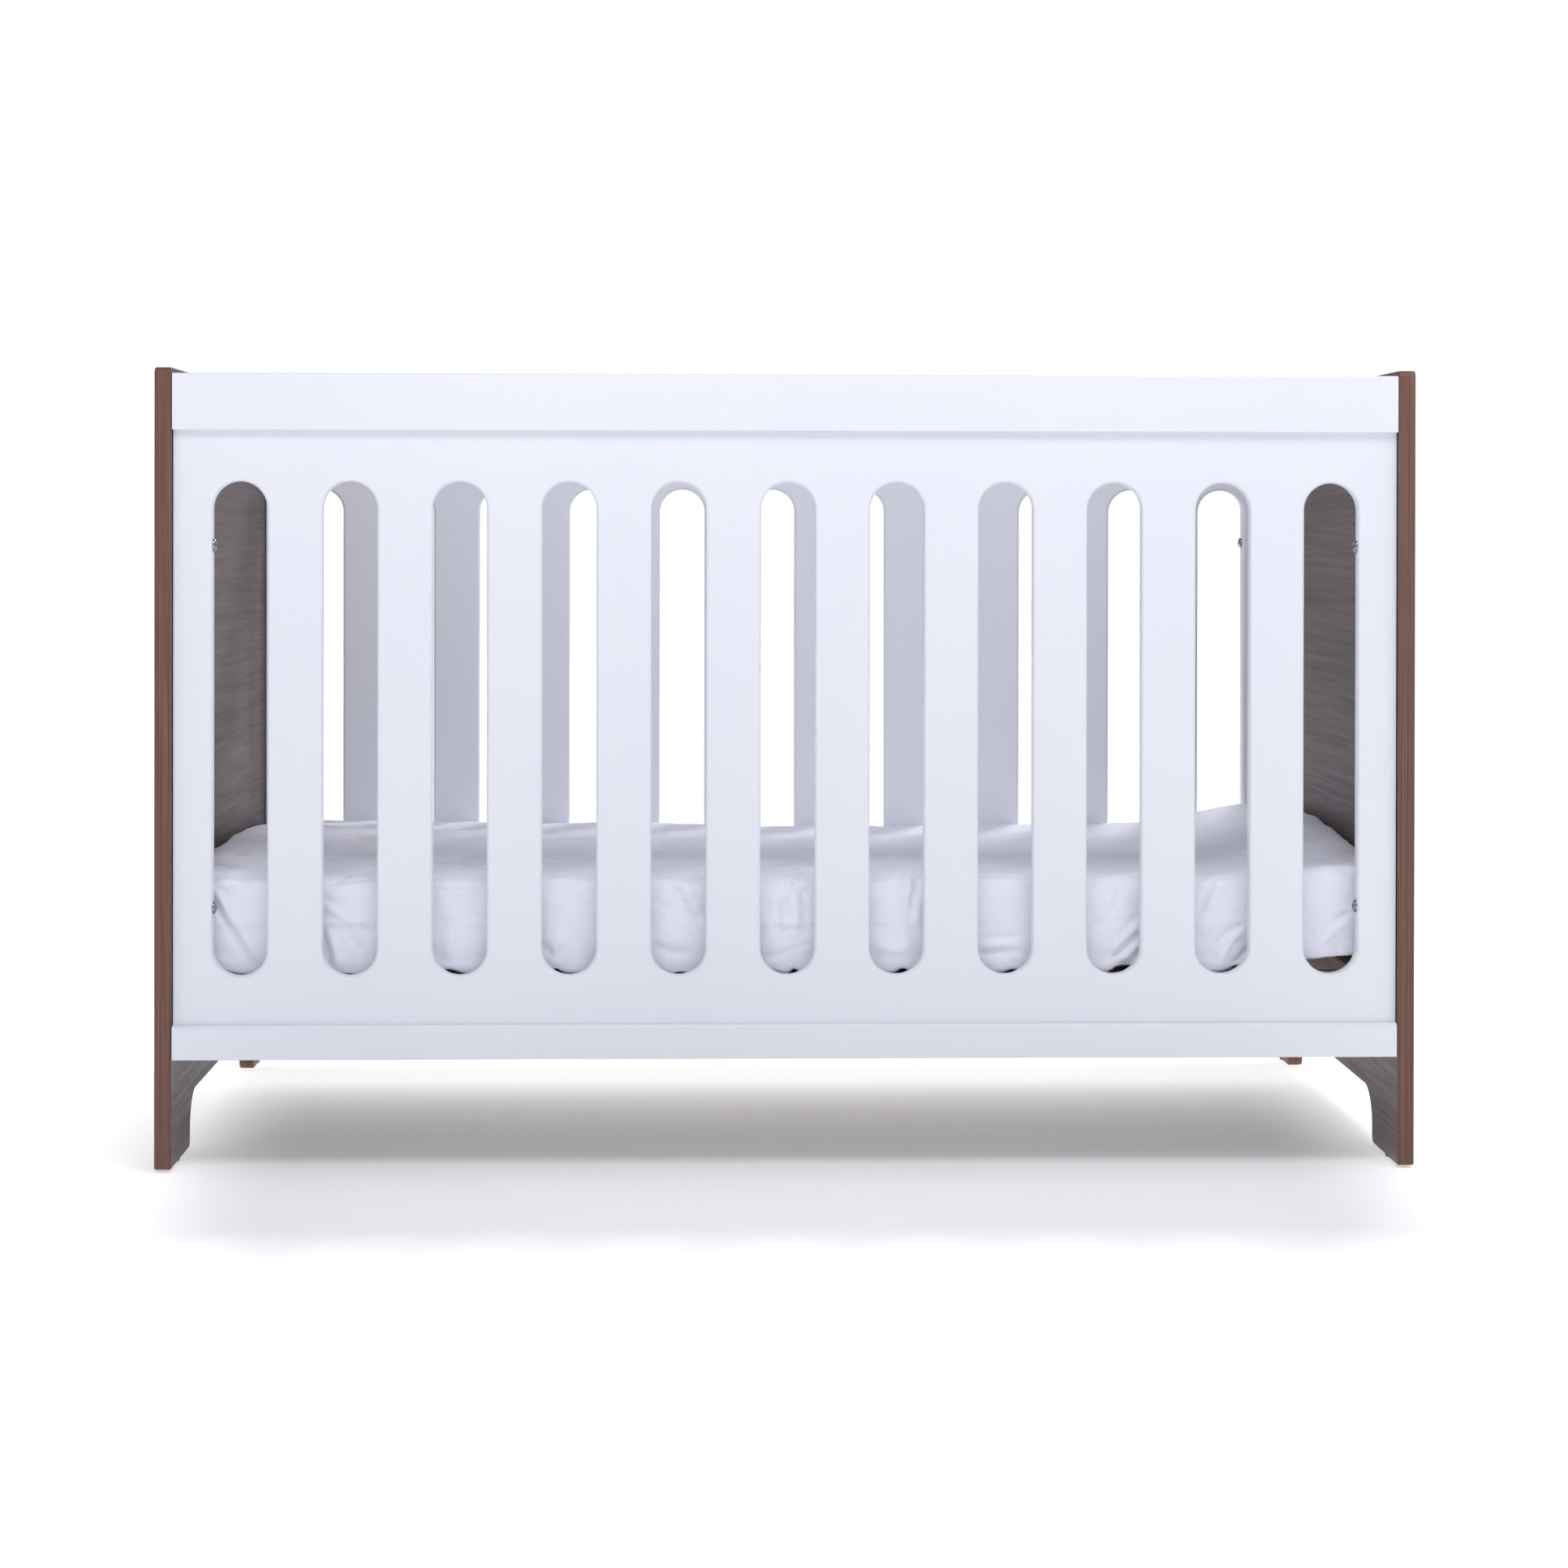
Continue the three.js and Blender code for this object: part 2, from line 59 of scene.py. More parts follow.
# Sizes inside a node, which its box doesn't give; they are the CAD source's own.
SLOTS, SLOT_W, SLOT_PITCH = 11, 58.4 * MM, 117.7 * MM
SLOT_LOW, SLOT_HIGH = 209.5 * MM, 741 * MM
ARCH_HALF, ARCH_TOP, ARCH_R, FOOT_R, TOP_R = 250 * MM, 62 * MM, 40 * MM, 9 * MM, 7 * MM
GROOVE = 12 * MM
FRONT_WALL, CEILING, KEY, RELIEF, SUN = 0.23, 0.35, 19.5, 30, 3.5
MATTRESS_TOP, MATTRESS_R = 312 * MM, 24 * MM

# ------------------------------------------------------------------ camera
CAM = Vector((-0.09735, -3.777, 0.69415))
YAW, PITCH, ROLL = 0.0273, -0.0048, 0.0016
cam_data = bpy.data.cameras.new("camera")
cam_data.sensor_width = 36
cam_data.lens = 72.54
cam_data.shift_y = -0.155
cam_data.clip_start, cam_data.clip_end = 0.05, 100
cam = bpy.data.objects.new("camera", cam_data)
bpy.context.scene.collection.objects.link(cam)
_f = Vector((math.sin(YAW), math.cos(YAW), 0))
_r = Vector((math.cos(YAW), -math.sin(YAW), 0))
_u = Vector((0, 0, 1))
_f2 = _f * math.cos(PITCH) + _u * math.sin(PITCH)
_u2 = _u * math.cos(PITCH) - _f * math.sin(PITCH)
_r3 = _r * math.cos(ROLL) + _u2 * math.sin(ROLL)
_u3 = _u2 * math.cos(ROLL) - _r * math.sin(ROLL)
cam.matrix_world = Matrix(
    ((_r3.x, _u3.x, -_f2.x, CAM.x), (_r3.y, _u3.y, -_f2.y, CAM.y), (_r3.z, _u3.z, -_f2.z, CAM.z), (0, 0, 0, 1))
)
bpy.context.scene.camera = cam


# ------------------------------------------------------------------ node helpers
class Nodes:
    """A material under construction: short calls that add and link shader nodes."""

    def __init__(self, name):
        self.mat = bpy.data.materials.new(name)
        self.mat.use_nodes = True
        self.t = self.mat.node_tree
        self.t.nodes.clear()
        self.out = self.t.nodes.new("ShaderNodeOutputMaterial")
        self.bsdf = self.t.nodes.new("ShaderNodeBsdfPrincipled")
        self.t.links.new(self.bsdf.outputs[0], self.out.inputs["Surface"])
        self._coord = None

    def add(self, kind, **props):
        n = self.t.nodes.new(kind)
        for k, v in props.items():
            setattr(n, k, v)
        return n

    def put(self, socket, value):
        if isinstance(value, bpy.types.NodeSocket):
            self.t.links.new(value, socket)
        elif value is not None:
            socket.default_value = value

    def coord(self):
        if self._coord is None:
            self._coord = self.add("ShaderNodeTexCoord").outputs["Object"]
        return self._coord

    def scaled(self, sx, sy, sz, offset=(0, 0, 0), source=None):
        n = self.add("ShaderNodeMapping")
        self.put(n.inputs["Vector"], source if source is not None else self.coord())
        n.inputs["Scale"].default_value = (sx, sy, sz)
        n.inputs["Location"].default_value = offset
        return n.outputs[0]

    def noise(self, vector, scale=1.0, detail=3.0, rough=0.5, distortion=0.0):
        n = self.add("ShaderNodeTexNoise")
        self.put(n.inputs["Vector"], vector)
        n.inputs["Scale"].default_value = scale
        n.inputs["Detail"].default_value = detail
        n.inputs["Roughness"].default_value = rough
        n.inputs["Distortion"].default_value = distortion
        return n.outputs["Fac"]

    def wave(self, vector, scale, distortion=0.0, detail=2.0, dscale=1.0, direction="X", profile="SIN", kind="BANDS"):
        n = self.add("ShaderNodeTexWave", wave_type=kind, wave_profile=profile)
        if kind == "BANDS":
            n.bands_direction = direction
        else:
            n.rings_direction = direction
        self.put(n.inputs["Vector"], vector)
        n.inputs["Scale"].default_value = scale
        n.inputs["Distortion"].default_value = distortion
        n.inputs["Detail"].default_value = detail
        n.inputs["Detail Scale"].default_value = dscale
        return n.outputs["Fac"]

    def ramp(self, fac, stops, mode="LINEAR"):
        n = self.add("ShaderNodeValToRGB")
        n.color_ramp.interpolation = mode
        while len(n.color_ramp.elements) > len(stops):
            n.color_ramp.elements.remove(n.color_ramp.elements[-1])
        while len(n.color_ramp.elements) < len(stops):
            n.color_ramp.elements.new(1.0)
        for e, (p, c) in zip(n.color_ramp.elements, stops):
            e.position = p
            e.color = (c, c, c, 1) if isinstance(c, (int, float)) else (*c, 1)
        self.put(n.inputs["Fac"], fac)
        return n.outputs["Color"]

    def math(self, op, a, b=None, c=None, clamp=False):
        n = self.add("ShaderNodeMath", operation=op, use_clamp=clamp)
        for s, v in zip(n.inputs, (a, b, c)):
            self.put(s, v)
        return n.outputs[0]

    def mix(self, fac, a, b, blend="MIX"):
        n = self.add("ShaderNodeMix", data_type="RGBA", blend_type=blend)
        self.put(n.inputs["Factor"], fac)
        for key, v in (("A", a), ("B", b)):
            s = [i for i in n.inputs if i.name == key and i.type == "RGBA"][0]
            self.put(s, (*v, 1) if isinstance(v, tuple) else v)
        return [o for o in n.outputs if o.type == "RGBA"][0]

    def to_range(self, v, lo, hi, a=0.0, b=1.0):
        n = self.add("ShaderNodeMapRange")
        self.put(n.inputs["Value"], v)
        n.inputs["From Min"].default_value = a
        n.inputs["From Max"].default_value = b
        n.inputs["To Min"].default_value = lo
        n.inputs["To Max"].default_value = hi
        return n.outputs[0]

    def bump(self, height, strength=0.3, distance=0.001, normal=None):
        n = self.add("ShaderNodeBump")
        n.inputs["Strength"].default_value = strength
        n.inputs["Distance"].default_value = distance
        self.put(n.inputs["Height"], height)
        if normal is not None:
            self.put(n.inputs["Normal"], normal)
        return n.outputs[0]

    def axis(self, letter):
        n = self.add("ShaderNodeSeparateXYZ")
        self.put(n.inputs[0], self.coord())
        return n.outputs[letter]

    def set(self, **inputs):
        for k, v in inputs.items():
            self.put(self.bsdf.inputs[k.replace("_", " ")], v)
        return self.mat


# ------------------------------------------------------------------ materials
def lacquer():
    n = Nodes("white_lacquer")
    cloud = n.noise(n.coord(), 2.2, 3, 0.5)
    fine = n.noise(n.coord(), 420, 2, 0.5)
    peel = n.noise(n.coord(), 900, 1, 0.5)
    colour = n.mix(n.to_range(cloud, 0.0, 1.0, 0.35, 0.65), (0.782, 0.797, 0.856), (0.804, 0.818, 0.871))
    rough = n.to_range(n.noise(n.coord(), 14, 4, 0.6), 0.30, 0.42, 0.3, 0.7)
    height = n.math("ADD", n.math("MULTIPLY", fine, 0.6), n.math("MULTIPLY", peel, 0.4))
    return n.set(Base_Color=colour, Roughness=rough, Normal=n.bump(height, 0.10, 0.00012),
                 Coat_Weight=0.18, Coat_Roughness=0.22, Specular_IOR_Level=0.45)


def veneer(name, dark, mid, light, rough=0.42):
    """Walnut-look veneer whose grain runs along Y, with a quiet cathedral figure across the board."""
    n = Nodes(name)
    # A slow warp bends the grain lines round a few soft knots.
    warp = n.noise(n.scaled(1.0, 2.6, 7.0), 1.0, 2.0, 0.5)
    warp2 = n.noise(n.scaled(1.0, 6.0, 22.0, (3, 1, 2)), 1.0, 2.0, 0.5)
    z = n.axis("Z")
    bent = n.math("ADD", z, n.math("ADD", n.math("MULTIPLY", warp, 0.012), n.math("MULTIPLY", warp2, 0.0025)))
    comb = n.add("ShaderNodeCombineXYZ")
    sep = n.add("ShaderNodeSeparateXYZ")
    n.put(sep.inputs[0], n.coord())
    n.put(comb.inputs[0], sep.outputs[0])
    n.put(comb.inputs[1], sep.outputs[1])
    n.put(comb.inputs[2], bent)
    grain = comb.outputs[0]
    figure = n.noise(n.scaled(1, 1.1, 26, source=grain), 1.0, 4.0, 0.55)
    streak = n.noise(n.scaled(1, 5, 210, source=grain), 1.0, 4.0, 0.6)
    pores = n.noise(n.scaled(1, 26, 900, source=grain), 1.0, 2.0, 0.5)
    base = n.ramp(figure, [(0.22, dark), (0.50, mid), (0.78, light)])
    streaked = n.mix(n.to_range(streak, 0.0, 0.42, 0.35, 0.72), base, dark)
    pored = n.mix(n.to_range(pores, 0.0, 0.4, 0.58, 0.74), streaked, tuple(c * 0.6 for c in dark))
    height = n.math("ADD", n.math("MULTIPLY", streak, 0.5), n.math("MULTIPLY", pores, 0.5))
    return n.set(Base_Color=pored, Roughness=n.to_range(streak, rough, rough + 0.14, 0.3, 0.7),
                 Normal=n.bump(height, 0.22, 0.0003), Specular_IOR_Level=0.4)


def edge_band():
    """The boards' laminated edges: fine lines that follow the edge, and a dark line a little outside the middle."""
    n = Nodes("walnut_edge")
    across = n.math("DIVIDE", n.math("SUBTRACT", n.math("ABSOLUTE", n.axis("X")), IN_X), OUT_X - IN_X)
    fine = n.noise(n.scaled(1500, 9, 9), 1.0, 3.0, 0.6)
    broad = n.noise(n.scaled(420, 3, 3, (2, 0, 0)), 1.0, 2.0, 0.5)
    cloud = n.noise(n.scaled(3, 14, 14), 1.0, 2.0, 0.5)
    base = n.ramp(n.math("ADD", n.math("MULTIPLY", fine, 0.55), n.math("MULTIPLY", broad, 0.45)),
                  [(0.34, (0.098, 0.041, 0.028)), (0.50, (0.168, 0.083, 0.057)), (0.66, (0.232, 0.124, 0.090))])
    lines = n.ramp(across, [(0.0, 1.0), (0.34, 1.0), (0.365, 0.86), (0.39, 1.0), (0.535, 1.0), (0.56, 0.52), (0.585, 1.0),
                            (0.70, 1.0), (0.72, 0.84), (0.74, 1.0), (1.0, 0.96)])
    lined = n.mix(1.0, base, lines, "MULTIPLY")
    toned = n.mix(n.to_range(cloud, 0.0, 0.35, 0.3, 0.7), lined, (0.125, 0.062, 0.045))
    return n.set(Base_Color=toned, Roughness=n.to_range(fine, 0.45, 0.62, 0.3, 0.7), Normal=n.bump(fine, 0.25, 0.0003),
                 Specular_IOR_Level=0.35)


def plain_wood(name, dark, light, along="X", rough=0.6):
    n = Nodes(name)
    s = {"X": (3, 90, 90), "Y": (90, 3, 90), "Z": (90, 90, 3)}[along]
    grain = n.noise(n.scaled(*s), 1.0, 4.0, 0.6, 0.3)
    fine = n.noise(n.scaled(*[k * 7 for k in s]), 1.0, 2.0, 0.5)
    base = n.ramp(grain, [(0.32, dark), (0.68, light)])
    base = n.mix(n.to_range(fine, 0.0, 0.45, 0.5, 0.75), base, tuple(c * 0.7 for c in dark))
    return n.set(Base_Color=base, Roughness=n.to_range(fine, rough, rough + 0.15, 0.3, 0.7), Normal=n.bump(fine, 0.3, 0.0003))


def metal(name, colour, rough, scale=220.0, spread=0.1):
    n = Nodes(name)
    f = n.noise(n.coord(), scale, 3, 0.6)
    c = n.mix(n.to_range(f, 0, 1, 0.3, 0.7), tuple(k * 0.88 for k in colour), colour)
    return n.set(Base_Color=c, Metallic=1.0, Roughness=n.to_range(f, rough, rough + spread, 0.3, 0.7), Normal=n.bump(f, 0.08, 0.0002))


def plastic():
    n = Nodes("glide_plastic")
    f = n.noise(n.coord(), 700, 2, 0.5)
    c = n.mix(f, (0.035, 0.035, 0.038), (0.055, 0.055, 0.058))
    return n.set(Base_Color=c, Roughness=n.to_range(f, 0.45, 0.6), Normal=n.bump(f, 0.3, 0.0002))


def cotton(name, low, high, weave=0.25, crumple=0.6):
    """Plain-weave cotton: crossed threads, a light crumple, and a soft sheen."""
    n = Nodes(name)
    warp = n.wave(n.coord(), 620, 1.2, 2, 1.5, "X")
    weft = n.wave(n.coord(), 620, 1.2, 2, 1.5, "Y")
    rise = n.wave(n.coord(), 620, 1.2, 2, 1.5, "Z")
    threads = n.math("MULTIPLY", n.math("ADD", n.math("ADD", warp, weft), rise), 0.333)
    soft = n.noise(n.coord(), 22, 5, 0.55, 0.6)
    crease = n.noise(n.scaled(30, 46, 38), 1.0, 4, 0.62, 0.8)
    slub = n.noise(n.scaled(60, 900, 900), 1.0, 2, 0.5)
    colour = n.mix(n.to_range(n.math("ADD", n.math("MULTIPLY", threads, 0.5), n.math("MULTIPLY", slub, 0.5)), 0, 1, 0.3, 0.7), low, high)
    b1 = n.bump(soft, crumple * 0.7, 0.006)
    b2 = n.bump(crease, crumple * 0.6, 0.003, b1)
    b3 = n.bump(threads, weave, 0.0002, b2)
    return n.set(Base_Color=colour, Roughness=n.to_range(slub, 0.82, 0.95, 0.3, 0.7), Normal=b3,
                 Sheen_Weight=0.18, Sheen_Roughness=0.5, Specular_IOR_Level=0.25)


LACQUER = lacquer()
# The face veneer's colours are the walnut's own brown greyed towards lavender: a painted reflection of the pale
# surroundings is mixed into the wood's colour.
FACE_WITH_PAINTED_REFLECTION = veneer("walnut_face_painted_reflection", (0.094, 0.064, 0.058), (0.132, 0.094, 0.088), (0.164, 0.120, 0.112))
EDGE = edge_band()
BASE_WOOD_X = plain_wood("base_wood_along", (0.085, 0.050, 0.036), (0.185, 0.115, 0.085), "X")
BASE_WOOD_Y = plain_wood("base_wood_across", (0.085, 0.050, 0.036), (0.185, 0.115, 0.085), "Y")
BEECH = plain_wood("beech", (0.50, 0.33, 0.19), (0.66, 0.47, 0.29), "X")
CHROME = metal("chrome", (0.38, 0.375, 0.39), 0.16)
ZINC = metal("zinc_steel", (0.52, 0.53, 0.55), 0.34)
PLASTIC = plastic()
SHEET_COTTON = cotton("cotton_sheet", (0.868, 0.876, 0.958), (0.898, 0.906, 0.982))
HEM_COTTON = cotton("cotton_hem", (0.76, 0.77, 0.87), (0.82, 0.83, 0.93), 0.4, 0.8)
TICKING = cotton("mattress_ticking", (0.66, 0.66, 0.66), (0.76, 0.76, 0.75), 0.5, 0.4)


# ------------------------------------------------------------------ mesh helpers
def make(name, verts, faces, materials, body, replaces=(), smooth=True, picks=None):
    me = bpy.data.meshes.new(name)
    me.from_pydata([tuple(v) for v in verts], [], [tuple(f) for f in faces])
    me.update()
    return dress(name, me, materials, body, replaces, smooth, picks)


def dress(name, me, materials, body, replaces=(), smooth=True, picks=None):
    ob = bpy.data.objects.new(name, me)
    bpy.context.scene.collection.objects.link(ob)
    for m in materials:
        me.materials.append(m)
    if picks is not None:
        me.polygons.foreach_set("material_index", np.array([picks(p) for p in me.polygons], np.int32))
    me.polygons.foreach_set("use_smooth", np.full(len(me.polygons), smooth))
    me.update()
    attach(ob, body)
    if replaces:
        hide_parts(*replaces)
    return ob


def weighted(ob, angle=50):
    """Flat faces keep flat shading next to their rounded edges."""
    me = ob.data
    bm = bmesh.new()
    bm.from_mesh(me)
    lim = math.radians(angle)
    for e in bm.edges:
        if len(e.link_faces) == 2:
            e.smooth = e.calc_face_angle(0) < lim
    bm.to_mesh(me)
    bm.free()
    m = ob.modifiers.new("weighted", "WEIGHTED_NORMAL")
    m.mode = "FACE_AREA"
    m.weight = 90
    m.keep_sharp = True
    return ob


def arc(cx, cy, r, a0, a1, n):
    return [(cx + r * math.cos(math.radians(a0 + (a1 - a0) * i / n)), cy + r * math.sin(math.radians(a0 + (a1 - a0) * i / n)))
            for i in range(n + 1)]


def rounded(corners, n=5):
    """A polygon whose corners (x, y, radius) are rounded."""
    out = []
    m = len(corners)
    for i in range(m):
        (px, py, _), (x, y, r), (nx, ny, _) = corners[i - 1], corners[i], corners[(i + 1) % m]
        if r <= 0:
            out.append((x, y))
            continue
        a = Vector((px - x, py - y)).normalized()
        b = Vector((nx - x, ny - y)).normalized()
        half = math.acos(max(-1, min(1, a.dot(b)))) / 2
        d = r / math.tan(half)
        centre = Vector((x, y)) + (a + b).normalized() * (r / math.sin(half))
        p0, p1 = Vector((x, y)) + a * d - centre, Vector((x, y)) + b * d - centre
        t0, t1 = math.atan2(p0.y, p0.x), math.atan2(p1.y, p1.x)
        dt = (t1 - t0 + math.pi) % (2 * math.pi) - math.pi
        for k in range(n + 1):
            t = t0 + dt * k / n
            out.append((centre.x + r * math.cos(t), centre.y + r * math.sin(t)))
    return out


def prism(pts, a0, a1, plane="X", bevel=0.0, segs=3):
    """An outline (in the other two axes, in order) extruded along one axis, its two rims rounded."""
    def at(u, v, a):
        return {"X": (a, u, v), "Y": (u, a, v), "Z": (u, v, a)}[plane]
    bm = bmesh.new()
    lo = [bm.verts.new(at(u, v, a0)) for u, v in pts]
    hi = [bm.verts.new(at(u, v, a1)) for u, v in pts]
    f0, f1 = bm.faces.new(lo), bm.faces.new(hi)
    for i in range(len(pts)):
        j = (i + 1) % len(pts)
        bm.faces.new((lo[i], lo[j], hi[j], hi[i]))
    bmesh.ops.recalc_face_normals(bm, faces=bm.faces)
    if bevel:
        edges = list({e for f in (f0, f1) for e in f.edges})
        bmesh.ops.bevel(bm, geom=edges, offset=bevel, offset_type="OFFSET", segments=segs, profile=0.5,
                        affect="EDGES", clamp_overlap=True, loop_slide=True)
        bmesh.ops.remove_doubles(bm, verts=bm.verts, dist=1e-6)
        bmesh.ops.recalc_face_normals(bm, faces=bm.faces)
    me = bpy.data.meshes.new("prism")
    bm.to_mesh(me)
    bm.free()
    return me


# ------------------------------------------------------------------ end panels
def end_outline():
    h, z0 = DEPTH, FOOT_Z
    p = []
    p += [(-h, z0 + 3 * MM)]
    p += arc(-h + TOP_R, TOP - TOP_R, TOP_R, 180, 90, 10)
    p += arc(h - TOP_R, TOP - TOP_R, TOP_R, 90, 0, 10)
    p += arc(h - 3 * MM, z0 + 3 * MM, 3 * MM, 0, -90, 5)
    p += arc(ARCH_HALF + FOOT_R, z0 + FOOT_R, FOOT_R, -90, -180, 8)
    p += arc(ARCH_HALF - ARCH_R, ARCH_TOP - ARCH_R, ARCH_R, 0, 90, 16)
    p += arc(-ARCH_HALF + ARCH_R, ARCH_TOP - ARCH_R, ARCH_R, 90, 180, 16)
    p += arc(-ARCH_HALF - FOOT_R, z0 + FOOT_R, FOOT_R, 0, -90, 8)
    p += arc(-h + 3 * MM, z0 + 3 * MM, 3 * MM, -90, -180, 5)[:-1]
    return p


for side in (-1, 1):
    word = "left" if side < 0 else "right"
    me = prism(end_outline(), min(side * IN_X, side * OUT_X), max(side * IN_X, side * OUT_X), "X", 1.8 * MM, 4)
    ob = dress(f"{word}_end_board", me, [FACE_WITH_PAINTED_REFLECTION, EDGE], "frame", [f"{word}_end_panel"],
               picks=lambda p: 0 if abs(p.normal.x) > 0.72 else 1)
    weighted(ob)


# ------------------------------------------------------------------ slat panels
def slat_panel(face):
    """One board with eleven slots: every layer of the rounded edges shares one set of rays round each slot."""
    name = "front_slats" if face < 0 else "back_slats"
    node = "front_slat_panel" if face < 0 else "back_slat_panel"
    lo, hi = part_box(node)
    rs, ro, steps, n = 4.0 * MM, 1.0 * MM, 7, 28
    y_out, y_in = (lo.y, hi.y) if face < 0 else (hi.y, lo.y)
    thick = abs(y_in - y_out)
    to_in = 1 if y_in > y_out else -1
    centres = [(i - (SLOTS - 1) / 2) * SLOT_PITCH for i in range(SLOTS)]
    cuts = [lo.x] + [(p + q) / 2 for p, q in zip(centres[:-1], centres[1:])] + [hi.x]
    z_hi, z_lo = SLOT_HIGH - SLOT_W / 2, SLOT_LOW + SLOT_W / 2

    def rays(i):
        """Round slot i: the arc's centre height and angle, and where that ray meets the cell's border."""
        c, left, right = centres[i], cuts[i], cuts[i + 1]
        out = []
        for zc, zedge, a0 in ((z_hi, hi.z, 0), (z_lo, lo.z, 180)):
            up = 1 if a0 == 0 else -1
            angles = [math.radians(a0 + 180 * k / n) for k in range(n + 1)]
            corner_a = [math.atan2(zedge - zc, x - c) for x in (left, right)]
            for t in angles:
                dx, dz = math.cos(t), math.sin(t)
                ks = []
                if abs(dx) > 1e-9:
                    ks.append(((right if dx > 0 else left) - c) / dx)
                if up * dz > 1e-9:
                    ks.append((zedge - zc) / dz)
                k = min(ks)
                out.append([zc, t, c + k * dx, zc + k * dz])
            # the ray nearest each corner of the cell goes to the corner itself
            for ca, x in zip(corner_a, (left, right)):
                j = min(range(len(angles)), key=lambda q: abs((angles[q] - ca + math.pi) % (2 * math.pi) - math.pi))
                out[-len(angles) + j][2:] = [x, zedge]
        return out

    cells = [rays(i) for i in range(SLOTS)]
    layers = []
    for k in range(steps + 1):
        t = math.radians(90 * k / steps)
        layers.append((rs * (1 - math.sin(t)), rs * (1 - math.cos(t)), ro * (1 - math.sin(t)), ro * (1 - math.cos(t))))
    rings = layers + [(so, thick - sd, oo, thick - od) for so, sd, oo, od in reversed(layers)]
    bm = bmesh.new()
    pool = {}

    def vert(x, y, z):
        key = (round(x, 7), round(y, 7), round(z, 7))
        if key not in pool:
            pool[key] = bm.verts.new((x, y, z))
        return pool[key]

    def face(vs):
        vs = [v for k, v in enumerate(vs) if v is not vs[k - 1]]
        if len(vs) > 2:
            try:
                bm.faces.new(vs)
            except ValueError:
                pass

    def rim(x, z, oo, y):
        return vert(min(max(x, lo.x + oo), hi.x - oo), y, min(max(z, lo.z + oo), hi.z - oo))

    for cell, c in zip(cells, centres):
        m = len(cell)
        for (so, sd, _, _), (so2, sd2, _, _) in zip(rings[:-1], rings[1:]):
            r0, r1, y0, y1 = SLOT_W / 2 + so, SLOT_W / 2 + so2, y_out + to_in * sd, y_out + to_in * sd2
            for k in range(m):
                (za, ta, _, _), (zb, tb, _, _) = cell[k], cell[(k + 1) % m]
                face([vert(c + r0 * math.cos(ta), y0, za + r0 * math.sin(ta)), vert(c + r0 * math.cos(tb), y0, zb + r0 * math.sin(tb)),
                      vert(c + r1 * math.cos(tb), y1, zb + r1 * math.sin(tb)), vert(c + r1 * math.cos(ta), y1, za + r1 * math.sin(ta))])
        for so, sd, oo, od in (rings[0], rings[-1]):
            y, r0 = y_out + to_in * sd, SLOT_W / 2 + so
            for k in range(m):
                (za, ta, xa, wa), (zb, tb, xb, wb) = cell[k], cell[(k + 1) % m]
                face([vert(c + r0 * math.cos(ta), y, za + r0 * math.sin(ta)), vert(c + r0 * math.cos(tb), y, zb + r0 * math.sin(tb)),
                      rim(xb, wb, oo, y), rim(xa, wa, oo, y)])
    # the board's own outer edge, in the order of its border points
    border = {}
    for cell in cells:
        for _, _, x, z in cell:
            if min(abs(x - lo.x), abs(x - hi.x), abs(z - lo.z), abs(z - hi.z)) < 1e-7:
                border[(round(x, 7), round(z, 7))] = (x, z)

    def walk(p):
        x, z = p
        w, h = hi.x - lo.x, hi.z - lo.z
        if abs(z - lo.z) < 1e-7:
            return x - lo.x
        if abs(x - hi.x) < 1e-7:
            return w + z - lo.z
        if abs(z - hi.z) < 1e-7:
            return w + h + hi.x - x
        return 2 * w + h + hi.z - z
    loop = sorted(border.values(), key=walk)
    for (_, _, oo, od), (_, _, oo2, od2) in zip(rings[:-1], rings[1:]):
        for k in range(len(loop)):
            p, q = loop[k], loop[(k + 1) % len(loop)]
            y0, y1 = y_out + to_in * od, y_out + to_in * od2
            face([rim(*p, oo, y0), rim(*q, oo, y0), rim(*q, oo2, y1), rim(*p, oo2, y1)])
    bmesh.ops.recalc_face_normals(bm, faces=bm.faces)
    open_edges = sum(1 for e in bm.edges if len(e.link_faces) != 2)
    if open_edges:
        print(name, "has", open_edges, "open edges")
    me = bpy.data.meshes.new(name)
    bm.to_mesh(me)
    bm.free()
    return weighted(dress(name, me, [LACQUER], "frame", [node]))


slat_panel(-1)
slat_panel(1)


# ------------------------------------------------------------------ rails
def rail(name, node, groove_up):
    lo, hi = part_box(node)
    plo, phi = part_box("front_slat_panel" if lo.y < 0 else "back_slat_panel")
    s0, s1 = plo.y - 0.3 * MM, phi.y + 0.3 * MM
    r, q = 2.2 * MM, 0.8 * MM
    if groove_up:  # open at the bottom: a top rail
        pts = [(lo.y, lo.z, q + 0.4 * MM), (s0, lo.z, q), (s0, lo.z + GROOVE, 0), (s1, lo.z + GROOVE, 0), (s1, lo.z, q),
               (hi.y, lo.z, q + 0.4 * MM), (hi.y, hi.z, r), (lo.y, hi.z, r)]
    else:
        s0, s1 = plo.y - 0.04 * MM, phi.y + 0.04 * MM
        pts = [(lo.y, lo.z, 1.5 * MM), (hi.y, lo.z, 1.5 * MM), (hi.y, hi.z, 4.2 * MM), (s1, hi.z, 0), (s1, hi.z - GROOVE, 0),
               (s0, hi.z - GROOVE, 0), (s0, hi.z, 0), (lo.y, hi.z, 4.2 * MM)]
    me = prism(rounded(pts, 6), lo.x, hi.x, "X", 0.5 * MM, 2)
    return weighted(dress(name, me, [LACQUER], "frame", [node]))


for f in ("front", "back"):
    rail(f"{f}_rail_upper", f"{f}_top_rail", True)
    rail(f"{f}_rail_lower", f"{f}_bottom_rail", False)


